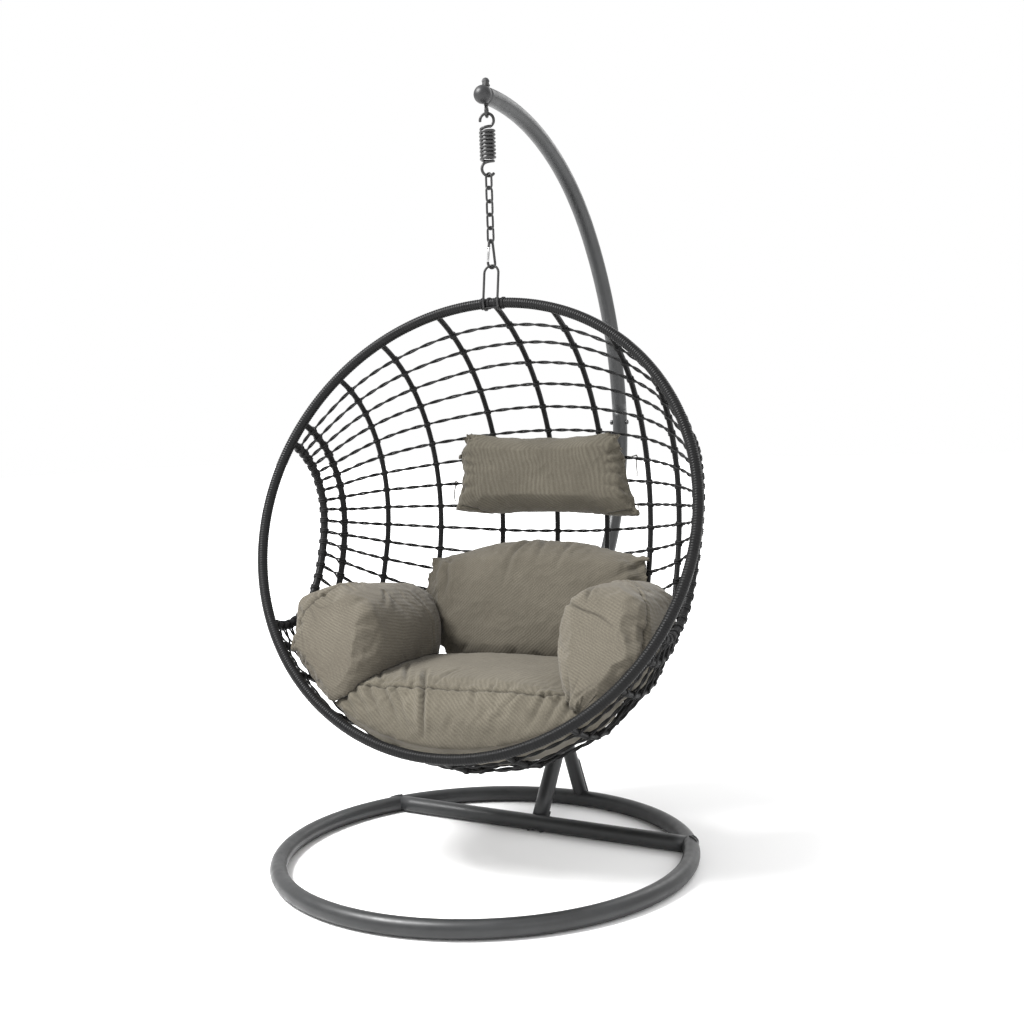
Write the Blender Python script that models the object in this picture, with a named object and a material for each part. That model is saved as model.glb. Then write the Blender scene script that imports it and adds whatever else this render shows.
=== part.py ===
"""Hanging egg chair: a tubular stand with a ring base, and a round woven basket with cushions that hangs from it
by a spring, a chain and a snap hook. Metres, +Z up, front at -Y. Run in Blender 4.5."""

import math
from collections import namedtuple

import bmesh
import bpy
from mathutils import Matrix, Vector

# Stand: a round tube bent and welded, standing on its ring.
TUBE_RADIUS = 0.0212
RING_RADIUS = 0.504
RING_STEPS = 48
TUBE_SIDES = 10
CROSS_TUBE_Y = 0.2538
MAST_FOOT = (0.268, 0.0212)  # y and z where the mast's line leaves the cross tube
MAST_LEAN = math.radians(33.7)
MAST_LEG = 0.797
LOWER_BEND_RADIUS = 0.661
MIDDLE_ARC = (0.961, math.radians(35.3))  # radius and turn
TOP_ARC = (0.641, math.radians(54.5))
MAST_SPLIT_TURN = math.radians(3.0)  # how far into the middle arc the mast's two tubes meet
SEAM_STRAIGHT = 0.012
SPIGOT_RADIUS = 0.0186
SPIGOT_REACH = 0.07
STRUT_RADIUS = 0.019
STRUT_FOOT = (0.511, 0.026)
STRUT_HEAD = (0.415, 0.236)
BALL_RADIUS = 0.0228
MAST_TIP_Y = 0.1120
GAP = 0.0003  # between touching pieces

# Hanging hardware, from the eye bolt down. All of it is on one vertical line.
HANG_Y = 0.120
EYE_TURN = math.radians(112)
EYE_Z = 1.8385
EYE_RADIUS = 0.0125
EYE_WIRE = 0.004
BOLT_RADIUS = 0.0042
HOOK_RADIUS = 0.017
SPRING_WIRE = 0.0037
COIL_RADIUS = 0.0168
COIL_PITCH = 0.0091
COIL_TURNS = 8
UPPER_HOOK_TURN = math.radians(22)
LOWER_HOOK_TURN = math.radians(52)
LINK_WIRE = 0.00275
LINK_LENGTH = 0.0385  # between the centre lines of its two ends
LINK_HALF_WIDTH = 0.0095
LINK_TURNS = [math.radians(a) for a in (-15, 75, -13, 77, -11)]
CARABINER_WIRE = 0.0032
CARABINER_TURN = math.radians(79)
CARABINER_LENGTH = 0.0687
CARABINER_TOP_RADIUS = 0.0065
CARABINER_FOOT_RADIUS = 0.013
LOOP_WIRE = 0.003
LOOP_HALF_WIDTH = 0.019

# Basket: a round rim that leans back, with ribs in upright planes behind it.
BASKET_TURN = math.radians(7.6)
RIM_RADIUS = 0.5610
RIM_TUBE = 0.012
RIM_TOP_DROP = 0.0925  # from the loop's top to the rim's top
RIM_LEAN = math.radians(20.7)
RIM_STEPS = 60
RIB_WIRE = 0.006
FAR_RIB_WIRE = 0.008  # the outermost rib, which the side weave ends on
# each pair of ribs: how far out it leaves the rim above and below, and its depth
RIBS = (
    ("near", 0.155, 0.155, 0.578),
    ("mid", 0.305, 0.305, 0.487),
    ("side", 0.413, 0.413, 0.376),
    ("far", 0.497, 0.466, 0.262),
)
CENTRE_DEPTH = 0.605
ARM_FRAME = (0.521, 0.496, 0.200)
ARM_WIRE = 0.0095
SEAT_SAG = 0.070
RIB_STEPS = 18
STRAND_WIRE = 0.0025
STRAND_CLEARANCE = 0.0012
STRAND_ROWS = 23
TOP_ROW_DROP = 0.45  # of a row, dying away at the middle rows
STRAND_GROUPS = (
    ("weave_top", 1, 5),
    ("weave_upper_back", 6, 10),
    ("weave_lower_back", 11, 14),
    ("weave_seat", 15, 19),
    ("weave_front", 20, 23),
)

# Cushions: centre (x, y, z), half sizes, and tilt about X, in the basket's own frame: y is measured from the hanging
# line, and z from the floor.
CUSHION_CLEARANCE = 0.016  # to the ribs' centre lines, with room for their facets
CUSHION_FRONT = 0.018  # behind the rim's plane
CUSHION_GAP = 0.0030
PUFF = 3.2  # how square a cushion is
PILLOW_PUFF = 4.5
CUSHIONS = {
    "seat_cushion": ((0.0, -0.120, 0.385), (0.335, 0.270, 0.098), 0.0),
    "left_bolster": ((-0.365, -0.100, 0.535), (0.122, 0.250, 0.143), math.radians(-6)),
    "right_bolster": ((0.365, -0.100, 0.540), (0.122, 0.250, 0.143), math.radians(-6)),
    "back_cushion": ((0.0, 0.250, 0.580), (0.330, 0.090, 0.175), math.radians(-18)),
    "head_pillow": ((0.004, 0.322, 0.935), (0.258, 0.046, 0.108), math.radians(-4)),
}
TIE_RADIUS = 0.0015
TIE_ROWS = (7, 8)  # the strands that the right and left ties go round
TIE_X = 0.266
PILLOW_END_X = 0.2600
TIE_PATH = (  # from the strand: outward, backward, upward
    (0.0000, -0.0085, 0.0052),
    (0.0003, -0.0005, 0.0058),
    (0.0006, 0.0056, 0.0010),
    (0.0010, 0.0030, -0.0052),
    (0.0014, -0.0045, -0.0070),
    (0.0024, -0.0090, -0.0180),
    (0.0040, -0.0100, -0.0340),
    (0.0030, -0.0080, -0.0500),
)
PRESSED_BY = {
    "left_bolster": ("seat_cushion",),
    "right_bolster": ("seat_cushion",),
    "back_cushion": ("seat_cushion", "left_bolster", "right_bolster"),
}

CHARCOAL = (0.075, 0.077, 0.080)
BLACK = (0.030, 0.030, 0.032)
TAUPE = (0.235, 0.212, 0.180)
DULL_STEEL = (0.060, 0.060, 0.062)


def clear_scene():
    for old in list(bpy.data.objects):
        bpy.data.objects.remove(old, do_unlink=True)


def material(name, colour, roughness, metallic):
    made = bpy.data.materials.new(name)
    made.use_nodes = True
    shader = made.node_tree.nodes["Principled BSDF"]
    shader.inputs["Base Color"].default_value = (*colour, 1.0)
    shader.inputs["Roughness"].default_value = roughness
    shader.inputs["Metallic"].default_value = metallic
    return made


def add_object(name, data, finish, parent=None):
    made = bpy.data.objects.new(name, data)
    bpy.context.scene.collection.objects.link(made)
    made.data.materials.append(material(name, *finish))
    made.parent = parent
    return made


def empty(name, location, turn=0.0, parent=None):
    made = bpy.data.objects.new(name, None)
    bpy.context.scene.collection.objects.link(made)
    made.location = location
    made.rotation_euler.z = turn
    made.parent = parent
    return made


def smooth(mesh):
    mesh.shade_smooth()
    mesh.set_sharp_from_angle(angle=math.radians(40))


def mesh_from(name, work):
    bmesh.ops.recalc_face_normals(work, faces=work.faces)
    mesh = bpy.data.meshes.new(name)
    work.to_mesh(mesh)
    work.free()
    smooth(mesh)
    return mesh


def frames_along(points, closed):
    """A frame (side, up) at each point, carried along the path without twist."""
    count = len(points)
    tangents = []
    for i in range(count):
        before = points[(i - 1) % count] if closed or i else points[0]
        after = points[(i + 1) % count] if closed or i < count - 1 else points[-1]
        tangents.append((after - before).normalized())
    side = tangents[0].orthogonal().normalized()
    frames = []
    for tangent in tangents:
        side = (side - tangent * side.dot(tangent)).normalized()
        frames.append((side, tangent.cross(side)))
    return tangents, frames


def rod_mesh(name, points, radius, sides, closed=False, first_side=None):
    """A round rod swept along points, capped at its ends, or joined up if it is closed."""
    points = [Vector(p) for p in points]
    tangents, frames = frames_along(points, closed)
    if closed:
        # the carried frame comes home turned: take that turn out evenly
        end = frames[-1][0]
        tangent = tangents[0]
        end = (end - tangent * end.dot(tangent)).normalized()
        slip = math.atan2(end.dot(frames[0][1]), end.dot(frames[0][0]))
    work = bmesh.new()
    rings = []
    for i, (point, (side, up)) in enumerate(zip(points, frames)):
        shift = -slip * i / len(points) if closed else 0.0
        if first_side is not None:
            side = (first_side - tangents[i] * first_side.dot(tangents[i])).normalized()
            up = tangents[i].cross(side)
            shift = math.pi / sides
        ring = []
        for n in range(sides):
            a = 2 * math.pi * n / sides + shift
            ring.append(work.verts.new(point + radius * (math.cos(a) * side + math.sin(a) * up)))
        rings.append(ring)
    for i in range(len(rings) if closed else len(rings) - 1):
        here, there = rings[i], rings[(i + 1) % len(rings)]
        for n in range(sides):
            m = (n + 1) % sides
            work.faces.new((here[n], here[m], there[m], there[n]))
    if not closed:
        work.faces.new(rings[0])
        work.faces.new(rings[-1])
    return mesh_from(name, work)


def cylinder_mesh(name, radius, bottom, top, sides):
    return rod_mesh(name, [(0, 0, bottom), (0, 0, top)], radius, sides)


def cutter(name, data, parent=None, location=(0, 0, 0)):
    made = bpy.data.objects.new(name, data)
    bpy.context.scene.collection.objects.link(made)
    made.parent = parent
    made.location = location
    made.hide_render = True
    made.display_type = "WIRE"
    return made


def boolean(target, other, operation):
    change = target.modifiers.new(operation.lower() + "_" + other.name, "BOOLEAN")
    change.operation = operation
    change.object = other


def plane_point(y, z):
    return Vector((0.0, y, z))


# ---------------------------------------------------------------- stand


def mast_line():
    """(points, index where the lower tube ends): the leg, the lower bend, the middle arc and the top arc."""
    y, z = MAST_FOOT
    heading = MAST_LEAN
    points = [plane_point(y, z)]
    y += MAST_LEG * math.sin(heading)
    z += MAST_LEG * math.cos(heading)
    points.append(plane_point(y, z))
    split = 0
    arcs = ((LOWER_BEND_RADIUS, MAST_LEAN, 6), (MIDDLE_ARC[0], MAST_SPLIT_TURN, 1))
    arcs += ((MIDDLE_ARC[0], MIDDLE_ARC[1] - MAST_SPLIT_TURN, 6), (TOP_ARC[0], TOP_ARC[1], 10))
    for n, (radius, turn, steps) in enumerate(arcs):
        middle_y = y - radius * math.cos(heading)
        middle_z = z + radius * math.sin(heading)
        for k in range(1, steps + 1):
            a = heading - turn * k / steps
            points.append(plane_point(middle_y + radius * math.cos(a), middle_z - radius * math.sin(a)))
        y, z = points[-1].y, points[-1].z
        heading -= turn
        if n == 1:
            # a short straight bit either side of the seam, so that the two tubes' ends are parallel
            seam = points.pop()
            straight = plane_point(math.sin(heading), math.cos(heading)) * SEAM_STRAIGHT
            points += [seam - straight, seam, seam + straight]
            split = len(points) - 2
    points.append(plane_point(MAST_TIP_Y, z))
    return points, split


def trimmed(points, cut):
    """The path without the first bit of its first stretch."""
    first = points[0] + (points[1] - points[0]).normalized() * cut
    return [first] + points[1:]


def build_stand(root):
    steel = (CHARCOAL, 0.45, 0.3)
    circle = []
    for k in range(RING_STEPS):
        a = 2 * math.pi * k / RING_STEPS
        circle.append((RING_RADIUS * math.sin(a), -RING_RADIUS * math.cos(a), TUBE_RADIUS))
    # the flats of the ring's tube face the floor, so that it stands on them
    girth = TUBE_RADIUS / math.cos(math.pi / TUBE_SIDES)
    up = Vector((0, 0, 1))
    ring = rod_mesh("base_ring", circle, girth, TUBE_SIDES, closed=True, first_side=up)
    add_object("base_ring", ring, steel, root)
    ring_cutter = cutter("ring_cutter", rod_mesh("ring_cutter", circle, girth + GAP, TUBE_SIDES, True, up), root)

    reach = math.sqrt(RING_RADIUS**2 - CROSS_TUBE_Y**2) - 0.004
    ends = [(-reach, CROSS_TUBE_Y, TUBE_RADIUS), (reach, CROSS_TUBE_Y, TUBE_RADIUS)]
    cross = add_object("cross_tube", rod_mesh("cross_tube", ends, TUBE_RADIUS, TUBE_SIDES), steel, root)
    boolean(cross, ring_cutter, "DIFFERENCE")
    wide = rod_mesh("cross_cutter", ends, TUBE_RADIUS + GAP, TUBE_SIDES)
    cross_cutter = cutter("cross_cutter", wide, root)

    points, split = mast_line()
    lower = add_object("mast_lower", rod_mesh("mast_lower", points[: split + 1], TUBE_RADIUS, TUBE_SIDES), steel, root)
    boolean(lower, cross_cutter, "DIFFERENCE")
    # the upper tube's spigot goes down into a socket in the lower one
    seam = points[split]
    down = (points[split - 1] - seam).normalized()
    spigot_line = [seam - down * 0.02, seam + down * SPIGOT_REACH]
    spigot = cutter("spigot", rod_mesh("spigot", spigot_line, SPIGOT_RADIUS, TUBE_SIDES), root)
    socket_line = [seam - down * 0.02, seam + down * (SPIGOT_REACH + GAP)]
    socket = cutter("socket", rod_mesh("socket", socket_line, SPIGOT_RADIUS + GAP, TUBE_SIDES), root)
    boolean(lower, socket, "DIFFERENCE")
    upper_line = trimmed(points[split:], GAP)
    upper = add_object("mast_upper", rod_mesh("mast_upper", upper_line, TUBE_RADIUS, TUBE_SIDES), steel, root)
    boolean(upper, spigot, "UNION")

    # a bolt across the joint of the two tubes, with its nut
    middle = seam + down * SPIGOT_REACH * 0.5
    bolt_hole = [middle - Vector((0.05, 0, 0)), middle + Vector((0.05, 0, 0))]
    hole = cutter("joint_bolt_hole", rod_mesh("joint_bolt_hole", bolt_hole, 0.0043, 12), root)
    boolean(lower, hole, "DIFFERENCE")
    boolean(upper, hole, "DIFFERENCE")
    build_bolt("mast_joint_bolt", middle, Vector((-1, 0, 0)), 0.004, 2 * TUBE_RADIUS + 0.0085, root)

    line = [plane_point(*STRUT_FOOT), plane_point(*STRUT_HEAD)]
    strut = add_object("rear_strut", rod_mesh("rear_strut", line, STRUT_RADIUS, TUBE_SIDES), steel, root)
    boolean(strut, ring_cutter, "DIFFERENCE")
    leg = rod_mesh("mast_cutter", points[:2], TUBE_RADIUS + GAP, TUBE_SIDES)
    boolean(strut, cutter("mast_cutter", leg, root), "DIFFERENCE")

    # the eye bolt's hole through the tube's end, and the ball that closes the end
    hole = cutter("eye_hole", cylinder_mesh("eye_hole", BOLT_RADIUS + GAP, 1.80, 1.95, 12), root, (0, HANG_Y, 0))
    boolean(upper, hole, "DIFFERENCE")
    tip = points[-1]
    work = bmesh.new()
    bmesh.ops.create_uvsphere(work, u_segments=16, v_segments=10, radius=BALL_RADIUS)
    ball_mesh = mesh_from("mast_end_ball", work)
    ball = add_object("mast_end_ball", ball_mesh, (BLACK, 0.5, 0.0), root)
    ball.location = tip + Vector((0, -0.007, 0.0))
    ahead = (points[-1] - points[-2]).normalized()
    end_line = [tip - ahead * 0.06, tip + ahead * GAP]
    end_cutter = cutter("tube_end_cutter", rod_mesh("tube_end_cutter", end_line, TUBE_RADIUS + 0.004, 16), root)
    boolean(ball, end_cutter, "DIFFERENCE")
    return tip


def hexagon_mesh(name, radius, bottom, top, hole):
    """A nut: a hexagon with a round hole through it."""
    work = bmesh.new()
    outer, inner = [], []
    for z in (bottom, top):
        ring_out, ring_in = [], []
        for k in range(12):
            a = math.pi * k / 6
            reach = radius if k % 2 == 0 else radius * math.cos(math.pi / 6)
            ring_out.append(work.verts.new((reach * math.cos(a), reach * math.sin(a), z)))
            ring_in.append(work.verts.new((hole * math.cos(a), hole * math.sin(a), z)))
        outer.append(ring_out)
        inner.append(ring_in)
    for k in range(12):
        m = (k + 1) % 12
        work.faces.new((outer[0][k], outer[0][m], outer[1][m], outer[1][k]))
        work.faces.new((inner[0][k], inner[1][k], inner[1][m], inner[0][m]))
        work.faces.new((outer[1][k], outer[1][m], inner[1][m], inner[1][k]))
        work.faces.new((outer[0][k], inner[0][k], inner[0][m], outer[0][m]))
    return mesh_from(name, work)


def build_bolt(name, middle, direction, radius, length, root):
    """A bolt with a round head at one end of its shank, and a nut on the other."""
    steel = (DULL_STEEL, 0.4, 0.8)
    shank = rod_mesh(name, [(0, 0, -length / 2), (0, 0, length / 2)], radius, 12)
    bolt = add_object(name, shank, steel, root)
    head = rod_mesh(name + "_head", [(0, 0, length / 2 - 0.002), (0, 0, length / 2 + 0.004)], radius * 1.8, 12)
    holder = cutter(name + "_head", head, root, middle)
    turn = direction.to_track_quat("Z", "Y")
    for piece in (bolt, holder):
        piece.rotation_mode = "QUATERNION"
        piece.rotation_quaternion = turn
    bolt.location = middle
    boolean(bolt, holder, "UNION")
    low = -length / 2 + 0.0005
    nut_mesh = hexagon_mesh(name + "_nut", radius * 1.9, low, low + 0.0035, radius + GAP)
    nut = add_object(name.replace("_bolt", "_nut"), nut_mesh, steel, root)
    nut.rotation_mode = "QUATERNION"
    nut.rotation_quaternion = turn
    nut.location = middle


# ---------------------------------------------------------------- hanging hardware


def in_plane(turn, across, z):
    """A point of an upright plane whose normal is turned by turn from the front, on the hanging line."""
    return Vector((across * math.cos(turn), across * math.sin(turn), z))


def arc_points(turn, centre, middle_z, radius, start, end, steps):
    points = []
    for k in range(steps + 1):
        a = math.radians(start + (end - start) * k / steps)
        points.append(in_plane(turn, centre + radius * math.cos(a), middle_z + radius * math.sin(a)))
    return points


def build_eye_bolt(line, tube_z):
    steel = (DULL_STEEL, 0.4, 0.8)
    ring = arc_points(EYE_TURN, 0.0, EYE_Z, EYE_RADIUS, 0, 345, 23)
    eye = add_object("eye_bolt", rod_mesh("eye_bolt", ring, EYE_WIRE, 8, closed=True), steel, line)
    top = tube_z + TUBE_RADIUS + 0.018
    shank = cutter("eye_shank", cylinder_mesh("eye_shank", BOLT_RADIUS, EYE_Z + EYE_RADIUS, top - 0.002, 12), line)
    boolean(eye, shank, "UNION")
    low = tube_z + BALL_RADIUS + GAP  # clear of the end ball's crown
    saddle = hexagon_mesh("eye_washer", 0.012, low, low + 0.002, BOLT_RADIUS + GAP)
    add_object("eye_washer", saddle, steel, line)
    low += 0.002 + GAP
    nut = hexagon_mesh("eye_nut", 0.0098, low, low + 0.008, BOLT_RADIUS + GAP)
    add_object("eye_nut", nut, steel, line)
    low += 0.008 + GAP
    # the domed cap over the nut has a pocket for the bolt's end
    work = bmesh.new()
    bmesh.ops.create_uvsphere(work, u_segments=12, v_segments=8, radius=0.0098)
    dome = add_object("eye_cap", mesh_from("eye_cap", work), steel, line)
    dome.location = (0, 0, low)
    below = cutter("cap_base_cutter", cylinder_mesh("cap_base_cutter", 0.03, -0.03, 0.0, 12), dome)
    pocket = cutter("cap_pocket", cylinder_mesh("cap_pocket", BOLT_RADIUS + GAP, -0.01, 0.0062, 12), dome)
    boolean(dome, below, "DIFFERENCE")
    boolean(dome, pocket, "DIFFERENCE")
    under = tube_z - TUBE_RADIUS - 0.0010
    collar = hexagon_mesh("eye_lock_nut", 0.0085, under - 0.0045, under, BOLT_RADIUS + GAP)
    collar_name = "eye_lock_nut"
    if EYE_Z + EYE_RADIUS + EYE_WIRE < under - 0.0045:
        add_object(collar_name, collar, steel, line)


def spiral_in(radius_from, radius_to, turn_from, turn_to, z_from, z_to, steps):
    points = []
    for k in range(1, steps):
        s = k / steps
        ease = s * s * (3 - 2 * s)
        radius = radius_from + (radius_to - radius_from) * ease
        a = turn_from + (turn_to - turn_from) * s
        points.append(Vector((radius * math.cos(a), radius * math.sin(a), z_from + (z_to - z_from) * ease)))
    return points


def spring_line():
    """The spring's wire from the tip of its upper hook, down its coils, to the tip of its lower hook."""
    hook_top = EYE_Z - EYE_RADIUS + EYE_WIRE + SPRING_WIRE + GAP
    upper_middle = hook_top - HOOK_RADIUS
    coil_top = upper_middle - HOOK_RADIUS - 0.0055
    coil_bottom = coil_top - COIL_TURNS * COIL_PITCH
    lower_middle = coil_bottom - 0.0055 - HOOK_RADIUS
    upper = arc_points(UPPER_HOOK_TURN, 0.0, upper_middle, HOOK_RADIUS, 185, -62, 15)
    end = upper[-1]
    start_turn = math.atan2(end.y, end.x)
    full_turn = start_turn - math.radians(230)
    line = list(upper)
    line += spiral_in(end.xy.length, COIL_RADIUS, start_turn, full_turn, end.z, coil_top, 7)
    steps = COIL_TURNS * 12
    for k in range(steps + 1):
        a = full_turn - 2 * math.pi * k / 12
        line.append(Vector((COIL_RADIUS * math.cos(a), COIL_RADIUS * math.sin(a), coil_top - COIL_PITCH * k / 12)))
    lower = arc_points(LOWER_HOOK_TURN, 0.0, lower_middle, HOOK_RADIUS, 118, 325, 13)
    start = lower[0]
    last_turn = full_turn - 2 * math.pi * steps / 12
    home = math.atan2(start.y, start.x)
    while home > last_turn - math.radians(150):
        home -= 2 * math.pi
    line += spiral_in(COIL_RADIUS, start.xy.length, last_turn, home, coil_bottom, start.z, 8)
    line += lower
    return line, lower_middle - HOOK_RADIUS


def oval_points(turn, top, length, half_width, steps):
    """A chain link's centre line: two half circles joined by straight sides."""
    upper = arc_points(turn, 0.0, top - half_width, half_width, 0, 180, steps)
    lower = arc_points(turn, 0.0, top - length + half_width, half_width, 180, 360, steps)
    return upper + lower


def build_chain(line):
    steel = (DULL_STEEL, 0.45, 0.7)
    wire, bottom = spring_line()
    add_object("spring", rod_mesh("spring", wire, SPRING_WIRE, 6), steel, line)
    top = bottom + SPRING_WIRE + LINK_WIRE + GAP
    for n, turn in enumerate(LINK_TURNS, 1):
        name = f"chain_link_{n}"
        oval = oval_points(turn, top, LINK_LENGTH, LINK_HALF_WIDTH, 7)
        add_object(name, rod_mesh(name, oval, LINK_WIRE, 6, closed=True), steel, line)
        top = top - LINK_LENGTH + 2 * LINK_WIRE + GAP
    return top - LINK_WIRE + CARABINER_WIRE


def carabiner_side(top, share):
    """A point of the snap hook's straight left side, share of the way down it."""
    span = CARABINER_LENGTH - CARABINER_TOP_RADIUS - CARABINER_FOOT_RADIUS
    slope = math.asin((CARABINER_FOOT_RADIUS - CARABINER_TOP_RADIUS) / span)
    upper = (-CARABINER_TOP_RADIUS * math.cos(slope), top - CARABINER_TOP_RADIUS + CARABINER_TOP_RADIUS * math.sin(slope))
    foot_z = top - CARABINER_LENGTH + CARABINER_FOOT_RADIUS
    lower = (-CARABINER_FOOT_RADIUS * math.cos(slope), foot_z + CARABINER_FOOT_RADIUS * math.sin(slope))
    across = upper[0] + (lower[0] - upper[0]) * share
    return across, upper[1] + (lower[1] - upper[1]) * share, slope


def build_carabiner(line, top):
    steel = (DULL_STEEL, 0.35, 0.9)
    turn = CARABINER_TURN
    hinge_across, hinge_z, slope = carabiner_side(top, 0.30)
    nose_across, nose_z, slope = carabiner_side(top, 0.96)
    upper_z = top - CARABINER_TOP_RADIUS
    foot_z = top - CARABINER_LENGTH + CARABINER_FOOT_RADIUS
    lean = math.degrees(slope)
    start_across, start_z, slope = carabiner_side(top, 0.22)
    path = [in_plane(turn, start_across, start_z)]
    path += arc_points(turn, 0.0, upper_z, CARABINER_TOP_RADIUS, 180 - lean, lean, 7)
    path += arc_points(turn, 0.0, foot_z, CARABINER_FOOT_RADIUS, lean, lean - 190, 10)
    body = add_object("snap_hook_body", rod_mesh("snap_hook_body", path, CARABINER_WIRE, 8), steel, line)

    # two cheeks carry the gate's pin
    normal = in_plane(turn, 0.0, 0.0) + Vector((-math.sin(turn), math.cos(turn), 0))
    hinge = in_plane(turn, hinge_across, hinge_z)
    above = in_plane(turn, start_across, start_z)
    along = (above - hinge).normalized()
    for n, side in enumerate((-1, 1)):
        middle = side * 0.0029 * normal
        cheek_line = [hinge - along * 0.0018 + middle, above + along * 0.003 + middle]
        cheek = rod_mesh(f"gate_cheek_{n}", cheek_line, 0.0019, 4, first_side=normal)
        cheek = cutter(f"gate_cheek_{n}", cheek, line)
        boolean(body, cheek, "UNION")
    pin_line = [hinge - normal * 0.0052, hinge + normal * 0.0052]
    hole_line = [hinge - normal * 0.0070, hinge + normal * 0.0070]
    pin_hole = cutter("gate_pin_hole", rod_mesh("gate_pin_hole", hole_line, 0.00075, 10), line)
    boolean(body, pin_hole, "DIFFERENCE")
    pin = add_object("gate_pin", rod_mesh("gate_pin", pin_line, 0.00055, 10), steel, line)
    pin.name = "gate_pin"

    nose = in_plane(turn, nose_across, nose_z)
    gate_line = [hinge + along * 0.0012, hinge - along * 0.004, nose + along * 0.0006]
    gate_mesh = rod_mesh("snap_hook_gate", gate_line, 0.0029, 8)
    gate = add_object("snap_hook_gate", gate_mesh, steel, line)
    for n, side in enumerate((-1, 1)):
        slot_middle = side * (0.0012 + 0.006 * math.cos(math.pi / 4)) * normal
        slot_line = [hinge + along * 0.006 + slot_middle, hinge - along * 0.0032 + slot_middle]
        slot = rod_mesh(f"gate_slot_{n}", slot_line, 0.006, 4, first_side=normal)
        slot = cutter(f"gate_slot_{n}", slot, line)
        boolean(gate, slot, "DIFFERENCE")
    gate_hole = cutter("gate_hole", rod_mesh("gate_hole", hole_line, 0.00085, 10), line)
    boolean(gate, gate_hole, "DIFFERENCE")
    return foot_z - CARABINER_FOOT_RADIUS + CARABINER_WIRE + LOOP_WIRE + GAP, hinge, normal


# ---------------------------------------------------------------- basket


Rib = namedtuple("Rib", "name top foot depth wire")


class Bowl:
    """The basket's surface in its own frame: x across, y back from the hanging line, z up from the floor."""

    def __init__(self, top_z):
        self.up = Vector((0, math.sin(RIM_LEAN), math.cos(RIM_LEAN)))
        self.back = Vector((0, math.cos(RIM_LEAN), -math.sin(RIM_LEAN)))
        self.centre = Vector((0, 0, top_z)) - RIM_RADIUS * self.up

    def depth(self, x):
        """How deep the bowl is at x, joined up from rib to rib."""
        stations = [(0.0, CENTRE_DEPTH)] + [((top + foot) / 2, deep) for _, top, foot, deep in RIBS]
        x = min(abs(x), stations[-1][0])
        for (x0, d0), (x1, d1) in zip(stations, stations[1:]):
            if x <= x1:
                return d0 + (d1 - d0) * (x - x0) / (x1 - x0)
        return stations[-1][1]

    def section(self, x, t, depth):
        """(height, depth) in the rim's frame, of the point at angle t from the top, in the plane at x."""
        half = math.sqrt(RIM_RADIUS**2 - x * x)
        sag = 0.0
        if t > math.pi / 2:
            sag = SEAT_SAG * (half / RIM_RADIUS) ** 2 * math.sin(2 * t - math.pi) ** 1.4
        return (half + sag) * math.cos(t), (depth + sag) * math.sin(t)

    def place(self, x, height, depth):
        return self.centre + Vector((x, 0, 0)) + height * self.up + depth * self.back

    def point(self, station, t):
        """The point of a rib at angle t from its top."""
        x = station.top + (station.foot - station.top) * (1 - math.cos(t)) / 2
        height, back = self.section(x, t, station.depth)
        return self.place(x, height, back)

    def inside(self, point, clearance):
        """The point, or the nearest place to it that clears the ribs and the rim's plane."""
        front = CUSHION_FRONT + clearance - CUSHION_CLEARANCE
        offset = point - self.centre
        height, back = offset.dot(self.up), max(offset.dot(self.back), front)
        widest = RIBS[-1][2] + 0.004 - clearance
        x = max(-widest, min(widest, point.x))
        half, depth = math.sqrt(RIM_RADIUS**2 - x * x), self.depth(x)
        t = math.atan2(back / depth, height / half)
        limit_height, limit_back = self.section(x, t, depth)
        limit = math.hypot(limit_height, limit_back) - clearance
        reach = math.hypot(height, back)
        if reach > limit:
            height, back = height * limit / reach, back * limit / reach
        return self.place(x, height, max(back, front))


def rib_points(bowl, station):
    """A rib's centre line, from just behind the rim at the top to just behind it at the bottom."""
    start = math.asin((RIM_TUBE + 0.0008) / station.depth)
    return [bowl.point(station, start + (math.pi - 2 * start) * k / RIB_STEPS) for k in range(RIB_STEPS + 1)]


def rib_stations():
    """Every rib, from left to right, with the arm frames outermost."""
    top, foot, depth = ARM_FRAME
    right = []
    for name, *sizes in RIBS:
        wire = FAR_RIB_WIRE if name == "far" else RIB_WIRE
        right.append(Rib(f"rib_right_{name}", *sizes, wire))
    right.append(Rib("arm_frame_right", top, foot, depth, ARM_WIRE))
    left = [Rib(rib.name.replace("right", "left"), -rib.top, -rib.foot, rib.depth, rib.wire) for rib in right]
    return left[::-1] + [Rib("rib_centre", 0.0, 0.0, CENTRE_DEPTH, RIB_WIRE)] + right


def strand_crossing(bowl, stations, i, t):
    """Where a strand at angle t passes behind rib i: clear of it, along the bowl's normal."""
    station = stations[i]
    here = bowl.point(station, t)
    left = bowl.point(stations[max(i - 1, 0)], t)
    right = bowl.point(stations[min(i + 1, len(stations) - 1)], t)
    along = bowl.point(station, t + 0.01) - bowl.point(station, t - 0.01)
    normal = (right - left).cross(along).normalized()
    if normal.dot(here - bowl.centre) < 0:
        normal = -normal
    bend = 1.0
    if 0 < i < len(stations) - 1:
        turn = (here - left).normalized().dot((right - here).normalized())
        bend = math.sqrt((1 + turn) / 2)
    return here + normal * (station.wire + STRAND_WIRE + STRAND_CLEARANCE) / bend


def row_angle(row):
    """The angle round the basket at which a row of the weave lies; the top rows hang a little lower."""
    lowered = row + TOP_ROW_DROP * max(0.0, 1 - 2 * row / (STRAND_ROWS + 1))
    return math.pi * lowered / (STRAND_ROWS + 1)


def strand_points(bowl, row_from, row_to):
    """One strand that runs to and fro behind the ribs, from row_from to row_to."""
    stations = rib_stations()
    points = []
    for row in range(row_from, row_to + 1):
        t = row_angle(row)
        crossing = [strand_crossing(bowl, stations, i, t) for i in range(len(stations))]
        points += crossing if (row - row_from) % 2 == 0 else crossing[::-1]
    return points


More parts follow.
